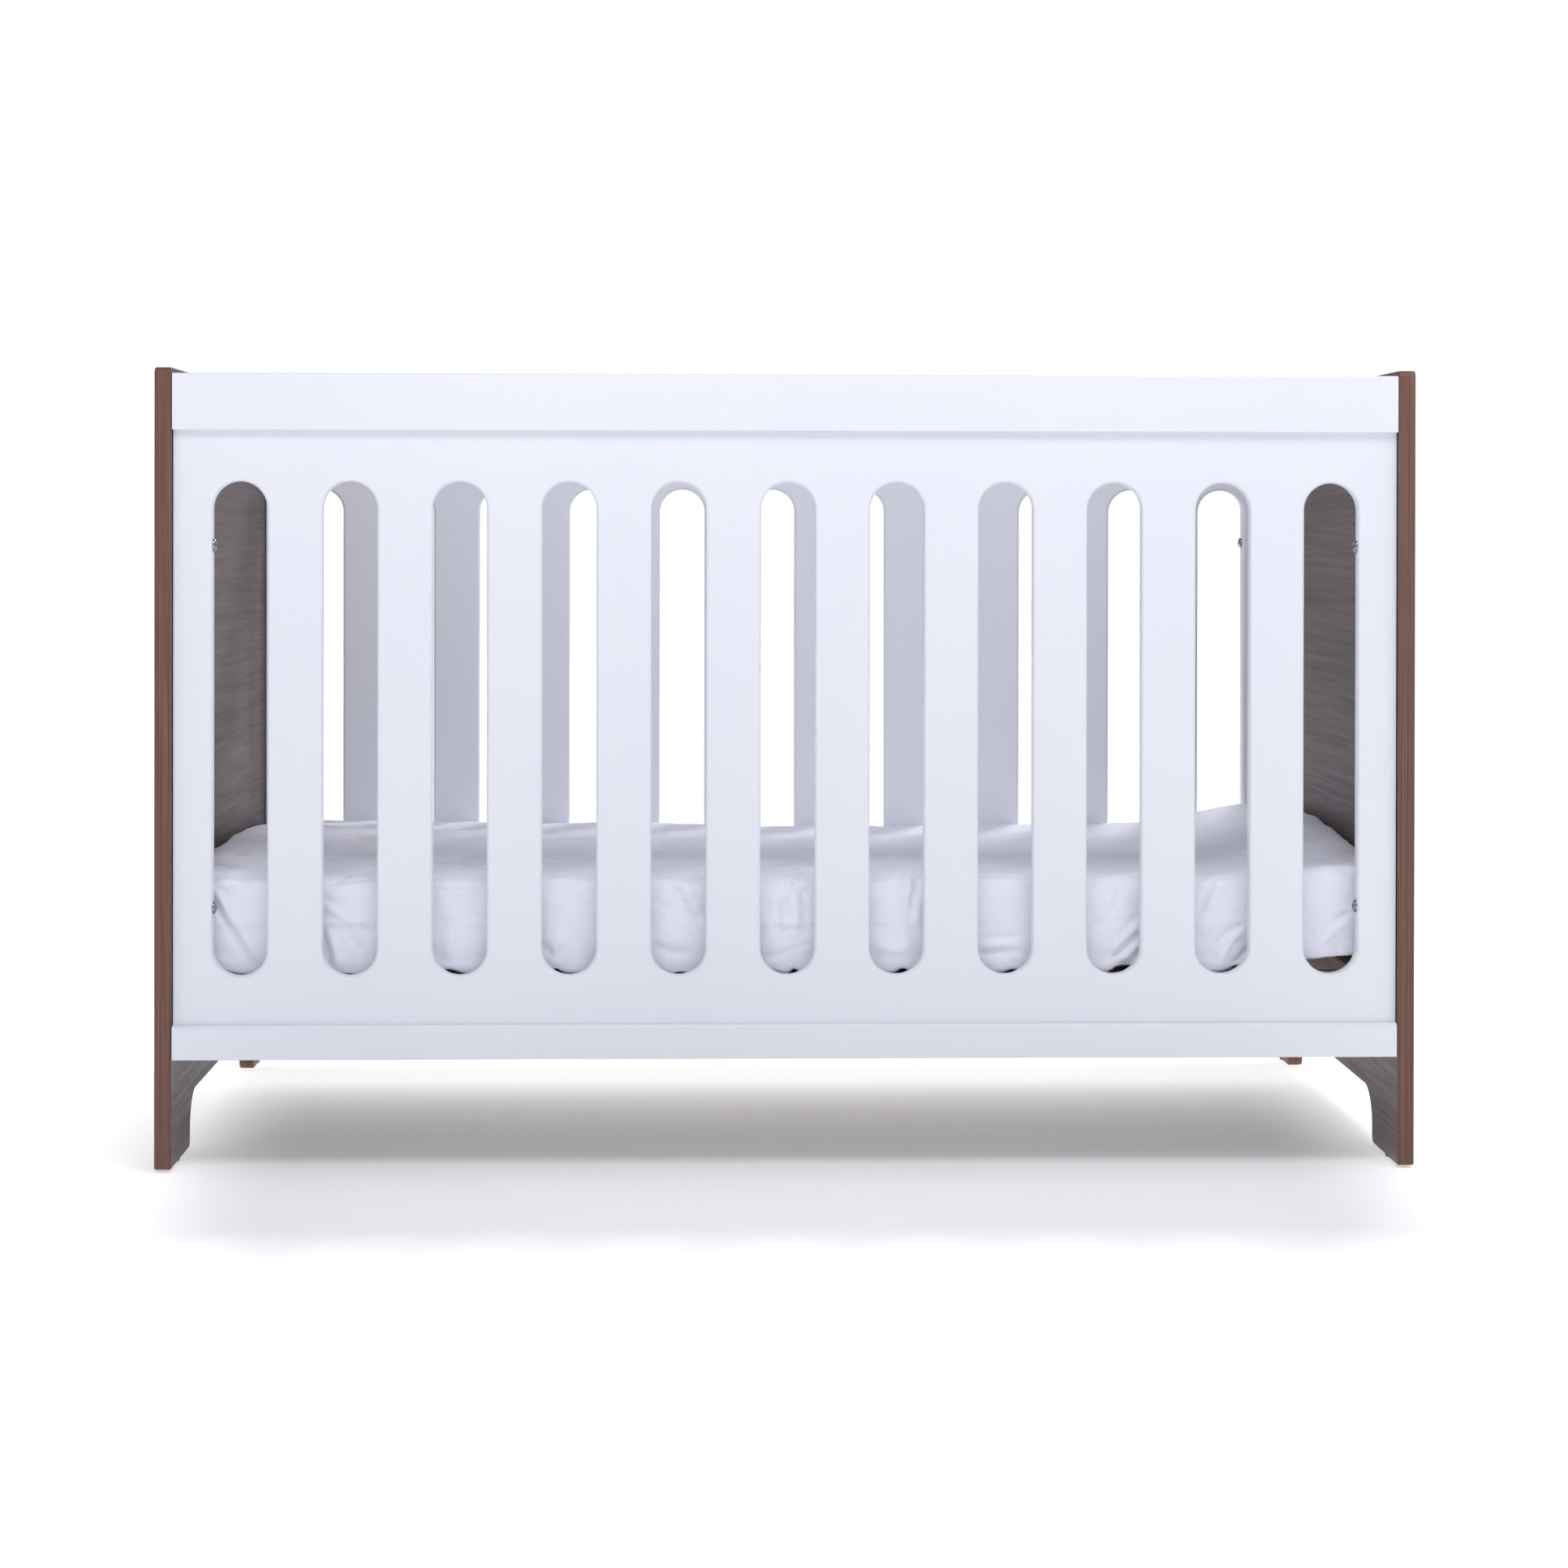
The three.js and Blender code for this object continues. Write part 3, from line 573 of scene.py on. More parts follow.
# ------------------------------------------------------------------ bolts
def bolt(node, face, side, level):
    lo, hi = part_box(node)
    y, z = (lo.y + hi.y) / 2, (lo.z + hi.z) / 2
    top = lo.x if side > 0 else hi.x
    tip = hi.x if side > 0 else lo.x
    length = abs(tip - top)
    n = 48
    hexr = 2.1 * MM  # across the flats, halved

    def hexagon(t):
        a = (t % (math.pi / 3)) - math.pi / 6
        return hexr / math.cos(a)
    rings = [(2.7, "h"), (0.55, "h"), (0.30, 2.75), (0.22, 3.2), (0.42, 4.2), (0.85, 5.3), (1.5, 6.2), (2.25, 6.75), (2.9, 6.95), (3.4, 7.0), (3.6, 6.9),
             (3.6, 3.2), (3.75, 3.0), (length / MM - 1.2, 3.0), (length / MM, 2.2)]
    verts, faces = [(0, 0, 0)], []
    verts[0] = (top + side * 2.7 * MM, y, z)
    for d, r in rings:
        for k in range(n):
            t = 2 * math.pi * k / n
            rad = hexagon(t) if r == "h" else r * MM
            verts.append((top + side * d * MM, y + rad * math.cos(t), z + rad * math.sin(t)))
    for k in range(n):
        faces.append((0, 1 + k, 1 + (k + 1) % n))
    for i in range(len(rings) - 1):
        for k in range(n):
            a, b = 1 + i * n + k, 1 + i * n + (k + 1) % n
            faces.append((a, a + n, b + n, b))
    end = len(verts)
    verts.append((top + side * length, y, z))
    last = 1 + (len(rings) - 1) * n
    for k in range(n):
        faces.append((end, last + (k + 1) % n, last + k))
    bm = bmesh.new()
    bv = [bm.verts.new(v) for v in verts]
    for f in faces:
        bm.faces.new([bv[i] for i in f])
    bmesh.ops.recalc_face_normals(bm, faces=bm.faces)
    me = bpy.data.meshes.new(node)
    bm.to_mesh(me)
    bm.free()
    ob = dress(f"bolt_{face}_{'left' if side < 0 else 'right'}_{level}", me, [CHROME], "frame", [node])
    return weighted(ob, 40)


for f in ("front", "back"):
    for s in (-1, 1):
        for level in ("upper", "lower"):
            bolt(f"panel_bolt_{f}_{'left' if s < 0 else 'right'}_{level}", f, s, level)


# ------------------------------------------------------------------ kept CAD nodes: finer edges and finishes
def finish_node(name, material, width=0.0, segs=2):
    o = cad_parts[name]
    o.data.materials.clear()
    o.data.materials.append(material)
    if width:
        w = o.modifiers.new("weld", "WELD")
        w.merge_threshold = 0.00005
        b = o.modifiers.new("bevel", "BEVEL")
        b.width = width
        b.segments = segs
        b.limit_method = "ANGLE"
        b.angle_limit = math.radians(50)
        b.harden_normals = False
        g = o.modifiers.new("weighted", "WEIGHTED_NORMAL")
        g.mode = "FACE_AREA"
        g.keep_sharp = False
        o.data.polygons.foreach_set("use_smooth", np.full(len(o.data.polygons), True))


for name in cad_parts:
    if name in ("base_front_rail", "base_back_rail"):
        finish_node(name, BASE_WOOD_X, 1.5 * MM, 3)
    elif name in ("base_left_rail", "base_right_rail") or name.startswith("base_slat_"):
        finish_node(name, BASE_WOOD_Y, 1.2 * MM, 3)
    elif name.startswith("base_bracket_"):
        finish_node(name, ZINC, 0.6 * MM, 2)
    elif name.startswith(("bracket_screw_", "panel_insert_")):
        finish_node(name, ZINC, 0.25 * MM, 2)
    elif name.startswith("rail_dowel_"):
        finish_node(name, BEECH, 0.3 * MM, 2)
    elif name.startswith("leg_glide_"):
        finish_node(name, PLASTIC, 0.3 * MM, 2)


# ------------------------------------------------------------------ mattress and fitted sheet
def smooth01(t):
    t = np.clip(t, 0, 1)
    return t * t * (3 - 2 * t)


def end_lift(x, y, up):
    """How the ends ride up and round off, at height up (0 underneath, 1 on top)."""
    end = smooth01((x - 455 * MM) / (SHEET_HI.x - 475 * MM))
    left = smooth01((-x - 500 * MM) / (SHEET_HI.x - 530 * MM))
    crown = 0.34 + 0.66 * np.maximum(0, 1 - ((y - 50 * MM) / (340 * MM)) ** 2)
    middle = 1 - smooth01((np.abs(x) - 120 * MM) / (420 * MM))
    sag = -MM * (4 + 5 * smooth01((x + 250 * MM) / (350 * MM))) * smooth01((y + 120 * MM) / (420 * MM)) * (0.4 + 0.6 * middle)
    crown_l = 0.05 + 0.95 * np.maximum(0, 1 - ((y + 20 * MM) / (346 * MM)) ** 2)
    round_r = np.clip((x - (SHEET_HI.x - 42 * MM)) / (42 * MM), 0, 0.97)
    round_l = np.clip((-x - (SHEET_HI.x - 36 * MM)) / (36 * MM), 0, 0.97)
    drop = 12 * MM * (1 - np.sqrt(1 - round_r**2)) + 15 * MM * (1 - np.sqrt(1 - round_l**2))
    rise = 5 * MM * (1 - np.sqrt(1 - round_l**2))
    z = end * ((1 - up) * 14 * MM + up * 35 * MM * crown) + up * (left * 17 * MM * crown_l + sag * (1 - end) * (1 - left))
    return z - up * drop + (1 - up) * rise


def spaced(h, step):
    """Coordinates from -h to h whose spacing follows step(v)."""
    out = [-h]
    while out[-1] < h:
        out.append(out[-1] + step(out[-1]))
    k = 2 * h / (out[-1] + h)
    return [-h + (v + h) * k for v in out]


def block_grid(xs, ys, zs, r, open_under=None):
    """Points, outward directions and quads of a block with every edge rounded to r, on the given grid lines.
    open_under leaves out the middle of the underside, all but a strip of that width."""
    hx, hy, hz = xs[-1], ys[-1], zs[-1]
    nx, ny, nz = len(xs) - 1, len(ys) - 1, len(zs) - 1
    ids, pts, faces = {}, [], []

    def vid(i, j, k):
        key = (i, j, k)
        if key not in ids:
            ids[key] = len(pts)
            pts.append((xs[i], ys[j], zs[k]))
        return ids[key]
    for i in range(nx):
        for j in range(ny):
            faces.append((vid(i, j, nz), vid(i + 1, j, nz), vid(i + 1, j + 1, nz), vid(i, j + 1, nz)))
            xm, ym = (xs[i] + xs[i + 1]) / 2, (ys[j] + ys[j + 1]) / 2
            if open_under is None or hx - abs(xm) < open_under or hy - abs(ym) < open_under:
                faces.append((vid(i, j + 1, 0), vid(i + 1, j + 1, 0), vid(i + 1, j, 0), vid(i, j, 0)))
    for k in range(nz):
        for i in range(nx):
            faces.append((vid(i, 0, k), vid(i + 1, 0, k), vid(i + 1, 0, k + 1), vid(i, 0, k + 1)))
            faces.append((vid(i + 1, ny, k), vid(i, ny, k), vid(i, ny, k + 1), vid(i + 1, ny, k + 1)))
        for j in range(ny):
            faces.append((vid(0, j + 1, k), vid(0, j, k), vid(0, j, k + 1), vid(0, j + 1, k + 1)))
            faces.append((vid(nx, j, k), vid(nx, j + 1, k), vid(nx, j + 1, k + 1), vid(nx, j, k + 1)))
    p = np.array(pts)
    h = np.array([hx, hy, hz])
    c = np.clip(p, -(h - r), h - r)
    d = p - c
    n = d / np.linalg.norm(d, axis=1)[:, None]
    return c + n * r, n, faces


def plan_corners(p, r):
    """Rounds the block's four upright corners in plan."""
    hx, hy = SHEET_HI.x, SHEET_HI.y
    t = np.clip((np.abs(p[:, 0]) - (hx - r)) / r, 0, 0.98)
    pull = 1 - 0.72 * r / hy * (1 - np.sqrt(1 - t**2)) * smooth01((np.abs(p[:, 1]) - (hy - 3.5 * r)) / (2.5 * r))
    p[:, 1] *= pull
    return p


def perlin(points, seed=0.0, octaves=2):
    out = np.empty(len(points))
    for i, p in enumerate(points):
        v = Vector((p[0] + seed, p[1] - seed * 0.7, p[2] + seed * 1.3))
        out[i] = noise.noise(v) if octaves == 1 else noise.fractal(v, 0.8, 2.0, octaves)
    return out


# Creases on the front face: points along each (x, z, mm), height in mm (below 0 is a valley), and width in mm.
CREASES = [
    # left-hand corner: the sewn seam of the fold, and the soft roll over it
    ([(-626, 295), (-619, 285), (-611, 270), (-595, 244), (-576, 214)], -3.2, 3.2),
    ([(-621, 297), (-605, 277), (-589, 251), (-571, 221)], 2.2, 6.0),
    ([(-619, 302), (-601, 308), (-567, 309)], 1.6, 7.0),
    # second slot: slanting folds
    ([(-507, 295), (-495, 286), (-471, 270), (-451, 251)], -2.4, 3.6),
    ([(-502, 285), (-480, 272), (-454, 260)], 2.4, 6.0),
    ([(-507, 258), (-500, 244), (-495, 228), (-495, 213)], -2.2, 3.5),
    ([(-502, 260), (-491, 240), (-484, 216)], 1.8, 6.0),
    ([(-475, 251), (-461, 231)], -1.5, 4.0),
    # third and fourth slots: quiet panels, a crease and a shallow V
    ([(-373, 276), (-375, 251), (-374, 216)], -1.2, 6.0),
    ([(-267, 243), (-260, 235), (-255, 228)], -2.2, 3.4),
    ([(-255, 228), (-248, 239), (-241, 246)], 1.6, 4.0),
    # fifth slot: two tucks under the top edge
    ([(-124, 308), (-126, 299), (-129, 290)], -3.0, 3.4),
    ([(-118, 304), (-114, 288), (-105, 276), (-95, 262)], -2.4, 3.6),
    ([(-110, 302), (-104, 286), (-92, 272)], 2.0, 6.0),
    ([(-147, 239), (-129, 232), (-110, 228)], -1.4, 5.0),
    # sixth slot: a gather and the pleats below it
    ([(12, 318), (9, 309), (8, 299)], -4.2, 3.4),
    ([(8, 300), (5, 285), (2, 263)], -1.8, 3.0),
    ([(15, 302), (17, 285), (20, 260)], -1.6, 3.2),
    ([(-3, 300), (-7, 281), (-11, 254)], -1.5, 3.6),
    ([(0, 302), (-1, 277), (-4, 251)], 1.6, 4.2),
    ([(12, 300), (11, 279), (10, 251)], 1.8, 4.2),
    # seventh slot: two tucks with long pleats
    ([(122, 313), (125, 302), (126, 292)], -3.6, 3.2),
    ([(126, 293), (126, 277), (124, 258)], -2.2, 3.2),
    ([(144, 318), (142, 308), (141, 297)], -4.4, 3.6),
    ([(140, 297), (134, 279), (130, 258)], -2.0, 3.4),
    ([(133, 302), (130, 281), (127, 254)], 2.0, 4.2),
    ([(148, 304), (145, 285), (142, 260)], 1.8, 4.4),
    ([(96, 242), (118, 231), (142, 242)], 1.2, 8.0),
    # eighth slot: short level creases
    ([(210, 245), (231, 247), (256, 247)], -1.8, 3.4),
    ([(210, 228), (233, 231), (251, 231)], -1.4, 3.4),
    ([(210, 237), (235, 239), (258, 239)], 1.2, 5.0),
    # ninth slot: slanting folds towards the lower left
    ([(366, 306), (362, 290), (356, 272)], -1.8, 4.0),
    ([(386, 274), (377, 262), (361, 242), (339, 217)], -2.2, 3.8),
    ([(388, 254), (375, 242), (355, 223)], -3.0, 3.2),
    ([(388, 262), (371, 249), (350, 228)], 2.4, 5.0),
    ([(388, 244), (375, 231), (364, 217)], 2.2, 5.0),
    # tenth slot: a fan of slanting folds
    ([(467, 313), (462, 299), (451, 274)], -2.2, 3.6),
    ([(474, 309), (469, 293), (459, 274)], 1.8, 5.0),
    ([(498, 258), (485, 253), (471, 242), (463, 216)], -2.6, 3.2),
    ([(503, 253), (487, 244), (478, 230), (472, 214)], 2.2, 5.0),
    ([(506, 233), (497, 224), (487, 214)], -2.4, 3.2),
    # right-hand end
    ([(616, 262), (598, 249), (572, 228)], -1.8, 4.0),
    ([(613, 251), (595, 240), (573, 221)], 1.6, 5.0),
    ([(577, 327), (595, 322), (614, 302)], -1.2, 7.0),
]


def along_line(x, z, line):
    """Distance from each point to a bent line, and the share of its length there."""
    pts = np.array(line) * MM
    seg = pts[1:] - pts[:-1]
    lens = np.linalg.norm(seg, axis=1)
    total = lens.sum()
    best = np.full(len(x), 9.0)
    share = np.zeros(len(x))
    run = 0.0
    for a, s, ln in zip(pts[:-1], seg, lens):
        t = np.clip(((x - a[0]) * s[0] + (z - a[1]) * s[1]) / (ln * ln), 0, 1)
        d = np.hypot(x - a[0] - t * s[0], z - a[1] - t * s[1])
        nearer = d < best
        best = np.where(nearer, d, best)
        share = np.where(nearer, (run + t * ln) / total, share)
        run += ln
    return best, share


def crease_net(q, width):
    """Thin valleys where a smooth field passes through nought."""
    return np.exp(-((q / width) ** 2))


def sheet_relief(p, n):
    """How far each point of the sheet stands off its smooth form, along its outward direction, in metres."""
    x, y, z = p.T
    o = 0 * x
    top = smooth01((n[:, 2] - 0.25) / 0.5)
    front = smooth01((-n[:, 1] - 0.35) / 0.5)
    side = smooth01((np.abs(n[:, 0]) - 0.35) / 0.5)
    back = smooth01((n[:, 1] - 0.35) / 0.5)
    under = smooth01((-n[:, 2] - 0.5) / 0.4)
    d = np.zeros(len(p))
    # a general softness, and a finer crumple
    d += 1.8 * MM * perlin(p * np.array([4.2, 7.0, 9.0]), 3.1, 2)
    d += 0.9 * MM * perlin(p * np.array([16.0, 24.0, 24.0]), 8.7, 2) * (1 - 0.5 * under)
    # top: long wrinkles that run the length of the crib, closest together near the front edge
    w1 = perlin(np.stack([x * 2.6, y * 1.2, o], 1), 1.7, 1)
    w2 = perlin(np.stack([x * 7.0, y * 2.0, o], 1), 5.2, 1)
    quiet = 1 - 0.6 * smooth01((x - 0.16) / 0.12) + 0.2 * smooth01((x - 0.5) / 0.1)
    for y0, amp, width, ph in ((-0.334, 3.0, 5.0, 0.0), (-0.312, 4.6, 7.5, 1.1), (-0.284, 5.2, 9.0, 2.3), (-0.250, 5.2, 10.0, 3.7),
                               (-0.208, 4.8, 12.0, 4.1), (-0.158, 4.4, 14.0, 5.2), (-0.095, 4.0, 17.0, 6.6), (-0.015, 3.6, 20.0, 7.7),
                               (0.08, 3.2, 22.0, 8.4), (0.19, 3.2, 22.0, 9.3), (0.29, 3.0, 18.0, 0.7)):
        path = y0 + 0.018 * w1 + 0.008 * w2 + 0.005 * np.sin(x * 11 + ph) + 0.012 * np.sin(x * 2.3 + ph * 1.7) * (y0 > -0.31)
        strength = smooth01(0.5 + 0.75 * np.sin(x * 6.1 + ph * 2.1) * np.cos(x * 2.9 + ph * 1.3) + 0.3 * np.sin(x * 17 + ph)) * quiet
        q = (y - path) / (width * MM)
        d += top * strength * amp * MM * (np.exp(-(q**2)) - 0.55 * np.exp(-((q - 1.5) ** 2)))
    # top: fine lengthwise creases in the first hand's breadth behind the front edge
    net = perlin(np.stack([x * 4.5 + y * 6, y * 42 - x * 1.2, o], 1), 4.9, 2)
    d -= top * 2.8 * MM * crease_net(net, 0.10) * smooth01((-y - 0.16) / 0.08) * quiet
    net = perlin(np.stack([x * 3.4 - y * 4, y * 30 + x * 1.6, o], 1), 8.1, 2)
    d += top * 2.4 * MM * crease_net(net, 0.10) * smooth01((-y - 0.05) / 0.1) * quiet
    # top: slack drawn slantwise across the left-hand half and beside the raised end
    net = perlin(np.stack([x * 4.2 + y * 5.0, y * 11 - x * 1.5, o], 1), 2.2, 2)
    d -= top * 3.4 * MM * crease_net(net, 0.075) * smooth01((-x + 0.1) / 0.5)
    net = perlin(np.stack([x * 6.5 - y * 2.0, y * 9 + x * 2.0, o], 1), 6.2, 2)
    d -= top * 3.0 * MM * crease_net(net, 0.075) * smooth01((x - 0.36) / 0.15)
    # front: each drawn crease
    for line, height, width in CREASES:
        dist, share = along_line(x, z, line)
        taper = np.minimum(1, np.minimum(share, 1 - share) * 5 + 0.2)
        near = np.maximum(front, 0.55 * top * (y < -0.30))
        d += near * taper * height * 1.8 * MM * np.exp(-((dist / (width * MM * 0.9)) ** 2))
    # front: the cloth's own small creases, standing up and slanting
    mask = smooth01(0.5 + 1.1 * perlin(np.stack([x * 6, z * 4, o], 1), 7.3, 1))
    net = perlin(np.stack([x * 17 + z * 9, z * 8 - x * 3, o], 1), 5.9, 2)
    d -= (front + 0.7 * back + 0.7 * side) * mask * 1.7 * MM * crease_net(net, 0.07)
    net = perlin(np.stack([x * 9 - z * 15, z * 19 + x * 4, o], 1), 1.3, 2)
    d -= (front + 0.7 * back + 0.7 * side) * (1 - mask) * 1.4 * MM * crease_net(net, 0.07)
    # the upper front edge is scalloped by the slack that is drawn over it
    edge = np.exp(-(((z - 0.304) / 0.010) ** 2)) * (y < -0.32)
    d += edge * (1.5 * MM * np.sin(x * 88 + 5 * w2) + 1.3 * MM * perlin(np.stack([x * 40, o, o], 1), 3.8, 2))
    # the sheet's own fold line from its packet, level along the front and back, and upright every so often
    level = 0.2625 + 0.0012 * np.sin(x * 11)
    kept = smooth01(0.45 + 1.3 * perlin(np.stack([x * 6.5, y * 2.0, o], 1), 6.6, 1))
    d += kept * (front + back) * (1.4 * MM * np.exp(-(((z - level) / (2.4 * MM)) ** 2)) - 0.9 * MM * np.exp(-(((z - level + 0.007) / (4 * MM)) ** 2)))
    for x0 in (-0.395, -0.132, 0.131, 0.394):
        d += (front + back + top) * 0.9 * MM * np.exp(-(((x - x0) / (3.6 * MM)) ** 2))
    # pull marks from the elastic, rising from the lower edge
    low = smooth01((0.262 - z) / 0.055)
    pull = perlin(np.stack([(x + y) * 26, (x - y) * 26, z * 5], 1), 4.4, 2)
    d += (front + back + side) * low * 2.2 * MM * pull
    # back and ends: plain slanting pulls
    slant = perlin(np.stack([(x + z * 1.2) * 13, (y + z * 0.8) * 13, z * 6], 1), 9.4, 2)
    d += (back + side) * 2.2 * MM * slant
    # gathers of the elastic hem underneath
    run = np.arctan2(y * SHEET_HI.x / SHEET_HI.y, x)
    d -= under * 1.1 * MM * (1 + np.sin(run * 190 + 3 * perlin(np.stack([x * 20, y * 20, o], 1), 2.9, 1)))
    d += (front + back) * 2.0 * MM * smooth01((0.230 - z) / 0.016)
    return np.clip(d, -4.4 * MM - 2 * MM * top, 5.0 * MM + 2 * MM * top)


HEM = 60 * MM


def sheet_surface(inset, fine, open_under, wrinkled):
    z0, z1 = SHEET_LO.z + inset, MATTRESS_TOP - inset
    hx, hy, hz = SHEET_HI.x - inset, SHEET_HI.y - inset - (1.2 * MM if wrinkled else 0), (z1 - z0) / 2
    if fine:
        xs = spaced(hx, lambda v: 3.9 * MM if abs(v) < hx - 40 * MM else 3.4 * MM)
        ys = spaced(hy, lambda v: 2.7 * MM if v < -0.25 else (3.6 * MM if v < -0.16 else (8.0 * MM if v < hy - 30 * MM else 4.5 * MM)))
        zs = spaced(hz, lambda v: 2.6 * MM)
    else:
        xs, ys, zs = spaced(hx, lambda v: 14 * MM), spaced(hy, lambda v: 14 * MM), spaced(hz, lambda v: 9 * MM)
    p, n, faces = block_grid(xs, ys, zs, 10.5 * MM - inset * 0.5, open_under)
    p = p + np.array([0, 0, (z0 + z1) / 2])
    # the lower edge is tighter than the upper one
    big, small = (10.5 * MM - inset * 0.5), 3.2 * MM
    zm = (z0 + z1) / 2
    down = np.clip(-n[:, 2], 0, 1)
    flat_r = np.hypot(n[:, 0], n[:, 1])
    turn = (down > 1e-6) & (flat_r > 1e-6)
    out_xy = n[:, :2] / np.maximum(flat_r, 1e-9)[:, None]
    p[turn, :2] += (out_xy * ((big - small) * (1 - np.sqrt(np.maximum(0, 1 - down**2))))[:, None])[turn]
    p[turn, 2] = z0 + small * (1 - down[turn])
    wall = (down <= 1e-6) & (p[:, 2] < zm)
    p[wall, 2] = zm - (zm - p[wall, 2]) * (zm - z0 - small) / (zm - z0 - big)
    if wrinkled:
        d = sheet_relief(p, n)
        flat = smooth01((-n[:, 2] - 0.2) / 0.5)
        d = d * (1 - flat) + np.minimum(d, 0.2 * MM) * flat
        p = p + n * d[:, None]
    p = plan_corners(p, 26 * MM)
    up = np.clip((p[:, 2] - z0) / (z1 - z0), 0, 1.05)
    p[:, 2] += end_lift(p[:, 0], p[:, 1], up)
    if wrinkled:
        # the lower front edge lifts off the base here and there
        for x0, w, h in ((-365, 12, 1.7), (-255, 15, 1.2), (-141, 8, 1.8), (-15, 7, 1.1), (8, 6, 1.3),
                         (127, 8, 1.6), (247, 9, 1.6), (369, 13, 3.8), (494, 10, 2.0)):
            near = np.exp(-(((p[:, 0] - x0 * MM) / (w * MM)) ** 2)) * smooth01((0.228 - p[:, 2]) / 0.014) * smooth01((-p[:, 1] - 0.322) / 0.018)
            p[:, 2] += near * h * MM
            p[:, 1] += near * h * 0.4 * MM
        p[:, 1] = np.clip(p[:, 1], -348.4 * MM, 348.4 * MM)
        p[:, 0] = np.clip(p[:, 0], -659.4 * MM, 659.4 * MM)
    low = BASE_HI.z + 0.25 * MM + inset
    p[:, 2] = np.maximum(p[:, 2], low)
    if not wrinkled:
        # inside the ring of hem the foam's own underside comes down onto the base
        edge = np.minimum(SHEET_HI.x - np.abs(p[:, 0]), SHEET_HI.y - np.abs(p[:, 1]))
        w = smooth01((edge - HEM - 12 * MM) / (26 * MM)) * (p[:, 2] < low + 5 * MM)
        p[:, 2] -= w * (p[:, 2] - BASE_HI.z - 0.6 * MM)
    if wrinkled:
        # past the base's long rails the turned edge hangs a little lower than their tops
        w = smooth01((np.abs(p[:, 1]) - 341.5 * MM) / (1.5 * MM)) * smooth01((low + 7 * MM - p[:, 2]) / (5 * MM))
        w *= 1 - smooth01((np.abs(p[:, 0]) - 585 * MM) / (40 * MM))
        p[:, 1] = np.clip(p[:, 1] + np.sign(p[:, 1]) * w * 2.6 * MM, -348.4 * MM, 348.4 * MM)
        past = np.abs(p[:, 1]) > 344.9 * MM
        p[past, 2] -= 5.6 * MM * w[past]
    return p, faces


pts, quads = sheet_surface(0.0, True, HEM, True)
sheet = make("sheet_skin", pts, quads, [SHEET_COTTON], "mattress_and_sheet", ["fitted_sheet"])

core_pts, core_quads = sheet_surface(7.6 * MM, False, None, False)
core = make("mattress_core", core_pts, core_quads, [TICKING], "mattress_and_sheet", ["mattress"])


# the elastic hem: a gathered roll round the mouth under the mattress
def hem_roll():
    hx, hy = SHEET_HI.x - HEM, SHEET_HI.y - HEM
    rc = 26 * MM
    path = []
    n = 900
    outline = []
    for cx, cy, a0 in ((1, 1, 0), (-1, 1, 90), (-1, -1, 180), (1, -1, 270)):
        outline += arc(cx * (hx - rc), cy * (hy - rc), rc, a0, a0 + 90, 14)
    o = np.array(outline + outline[:1])
    run = np.concatenate([[0], np.cumsum(np.linalg.norm(np.diff(o, axis=0), axis=1))])
    s = np.linspace(0, run[-1], n, endpoint=False)
    path = np.stack([np.interp(s, run, o[:, 0]), np.interp(s, run, o[:, 1])], 1)
    nxt, prv = np.roll(path, -1, 0), np.roll(path, 1, 0)
    tan = (nxt - prv) / np.linalg.norm(nxt - prv, axis=1)[:, None]
    nor = np.stack([tan[:, 1], -tan[:, 0]], 1)
    verts, faces, m = [], [], 8
    for i in range(n):
        w = math.sin(s[i] * 430) + 0.5 * math.sin(s[i] * 791 + 1)
        for k in range(m):
            t = 2 * math.pi * k / m
            a, b = 3.2 * MM * (1 + 0.16 * w), 1.0 * MM * (1 + 0.22 * w)
            off = 1.0 * MM * math.sin(s[i] * 95) + a * math.cos(t)
            lift = end_lift(np.array([path[i, 0]]), np.array([path[i, 1]]), np.array([0.0]))[0]
            z = SHEET_LO.z + 1.6 * MM + b * math.sin(t) + lift
            verts.append((path[i, 0] + nor[i, 0] * off, path[i, 1] + nor[i, 1] * off, z))
    for i in range(n):
        j = (i + 1) % n
        for k in range(m):
            q = (k + 1) % m
            faces.append((i * m + k, i * m + q, j * m + q, j * m + k))
    bm = bmesh.new()
    bv = [bm.verts.new(v) for v in verts]
    for f in faces:
        bm.faces.new([bv[i] for i in f])
    bmesh.ops.recalc_face_normals(bm, faces=bm.faces)
    me = bpy.data.meshes.new("sheet_hem")
    bm.to_mesh(me)
    bm.free()
    return dress("sheet_hem", me, [HEM_COTTON], "mattress_and_sheet")


hem = hem_roll()

# ------------------------------------------------------------------ floor, world and lights
bm = bmesh.new()
bmesh.ops.create_grid(bm, x_segments=2, y_segments=2, size=14)
me = bpy.data.meshes.new("floor")
bm.to_mesh(me)
bm.free()
floor = bpy.data.objects.new("floor", me)
bpy.context.scene.collection.objects.link(floor)
nf = Nodes("studio_floor")
grit = nf.noise(nf.coord(), 3.0, 3, 0.5)
nf.set(Base_Color=nf.mix(grit, (0.86, 0.86, 0.86), (0.88, 0.88, 0.88)), Roughness=0.95, Specular_IOR_Level=0.0,
       Emission_Color=(1, 1, 1, 1), Emission_Strength=0.17)
me.materials.append(nf.mat)

# A white studio: the backdrop itself reads white, and the light is a wide soft wall in front with a dimmer ceiling.
world = bpy.data.worlds.new("studio")
bpy.context.scene.world = world
world.use_nodes = True
wt = world.node_tree
wt.nodes.clear()


def wnode(kind, **props):
    w = wt.nodes.new(kind)
    for k, v in props.items():
        setattr(w, k, v)
    return w


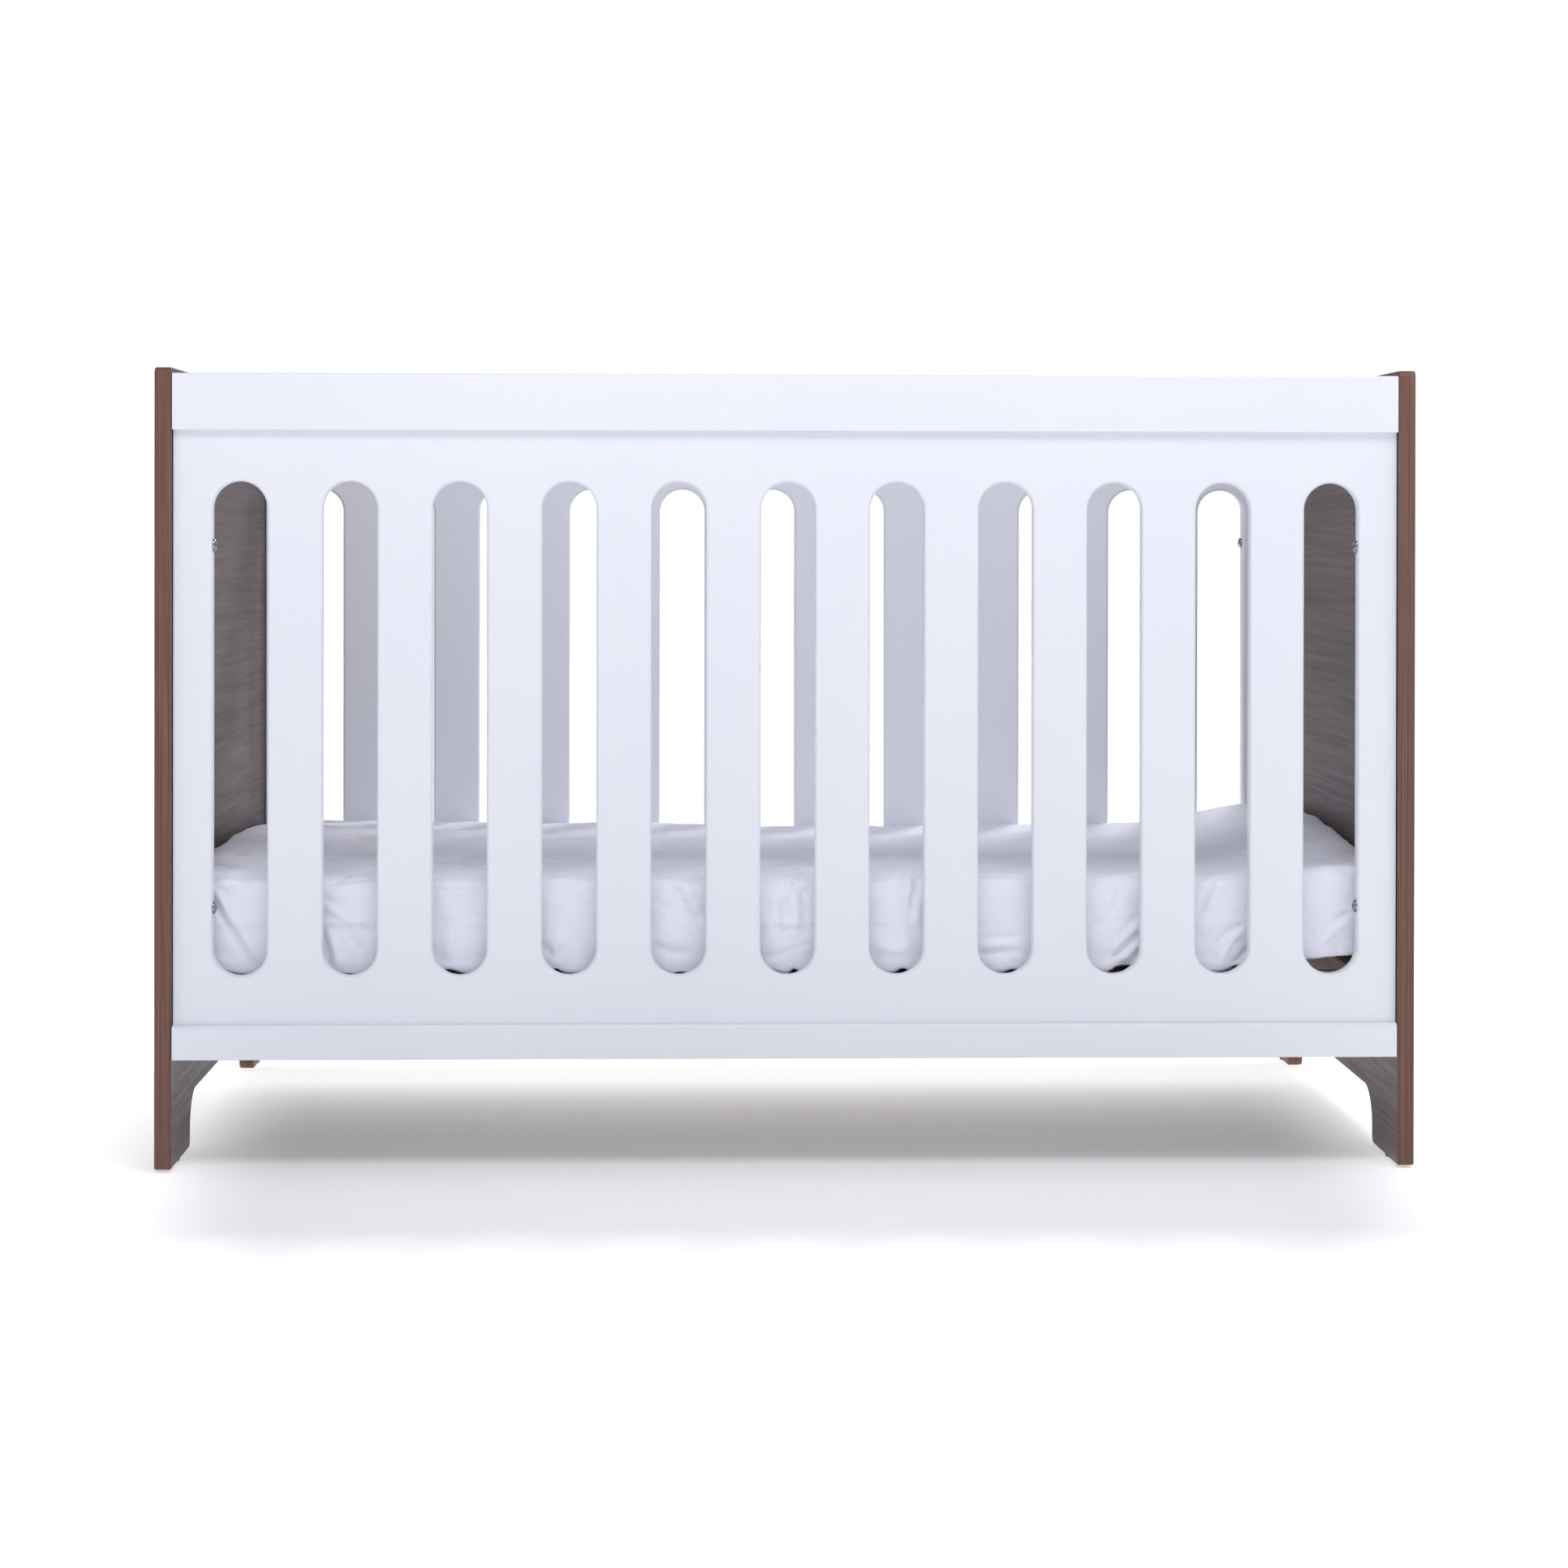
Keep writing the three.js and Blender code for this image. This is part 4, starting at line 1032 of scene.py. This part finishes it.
def wmath(op, p, q, clamp=False):
    w = wnode("ShaderNodeMath", operation=op, use_clamp=clamp)
    for sock, v in zip(w.inputs, (p, q)):
        if isinstance(v, bpy.types.NodeSocket):
            wt.links.new(v, sock)
        else:
            sock.default_value = v
    return w.outputs[0]


w_out = wnode("ShaderNodeOutputWorld")
w_dir = wnode("ShaderNodeTexCoord").outputs["Generated"]
w_sep = wnode("ShaderNodeSeparateXYZ")
wt.links.new(w_dir, w_sep.inputs[0])
to_front = wmath("MAXIMUM", wmath("MULTIPLY", w_sep.outputs["Y"], -1.0), 0.0)
wall = wmath("MULTIPLY", wmath("POWER", to_front, 1.5), FRONT_WALL)
tilt = wmath("ADD", wmath("MULTIPLY", w_sep.outputs["X"], -0.16), 1.0)
strength = wmath("ADD", wmath("MULTIPLY", wall, tilt), CEILING)
w_light = wnode("ShaderNodeBackground")
w_light.inputs[0].default_value = (0.94, 0.955, 1.07, 1)
wt.links.new(strength, w_light.inputs[1])
w_white = wnode("ShaderNodeBackground")
w_white.inputs[0].default_value = (1, 1, 1, 1)
w_white.inputs[1].default_value = 1.05
w_path = wnode("ShaderNodeLightPath")
w_mix = wnode("ShaderNodeMixShader")
wt.links.new(w_path.outputs["Is Camera Ray"], w_mix.inputs[0])
wt.links.new(w_light.outputs[0], w_mix.inputs[1])
wt.links.new(w_white.outputs[0], w_mix.inputs[2])
wt.links.new(w_mix.outputs[0], w_out.inputs["Surface"])


def area(name, where, target, size, power, colour=(1, 1, 1), size_y=None):
    d = bpy.data.lights.new(name, "AREA")
    d.shape = "RECTANGLE"
    d.size, d.size_y = size, size_y or size
    d.energy = power
    d.color = colour
    o = bpy.data.objects.new(name, d)
    bpy.context.scene.collection.objects.link(o)
    o.location = where
    o.rotation_euler = (Vector(target) - Vector(where)).to_track_quat("-Z", "Y").to_euler()
    return o


area("key", (0.25, -1.28, 2.05), (0, -0.38, 0.70), 2.8, KEY, (1.0, 0.99, 1.0), 0.5)

area("relief", (0.9, 1.9, 2.2), (0, -0.2, 0.3), 0.55, RELIEF, (1.0, 1.0, 1.04), 0.4)

# A broad light from behind and above that falls on the floor alone, for the one soft shadow that lies a little forward
# under the bed.
sun_data = bpy.data.lights.new("floor_light", "SUN")
sun_data.energy = SUN * 1.3
sun_data.angle = math.radians(34)
sun = bpy.data.objects.new("floor_light", sun_data)
bpy.context.scene.collection.objects.link(sun)
sun.rotation_euler = Vector((0, -1.9, -1.0)).to_track_quat("-Z", "Y").to_euler()
lit = bpy.data.collections.new("floor_light_receivers")
lit.objects.link(floor)
sun.light_linking.receiver_collection = lit
casts = bpy.data.collections.new("floor_light_blockers")
for o in [sheet, core] + [o for k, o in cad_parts.items() if k.startswith("base_") and "bracket" not in k]:
    casts.objects.link(o)
sun.light_linking.blocker_collection = casts

sc = bpy.context.scene
sc.view_settings.view_transform = "Standard"
sc.view_settings.look = "None"
sc.view_settings.exposure = 0
sc.view_settings.gamma = 1
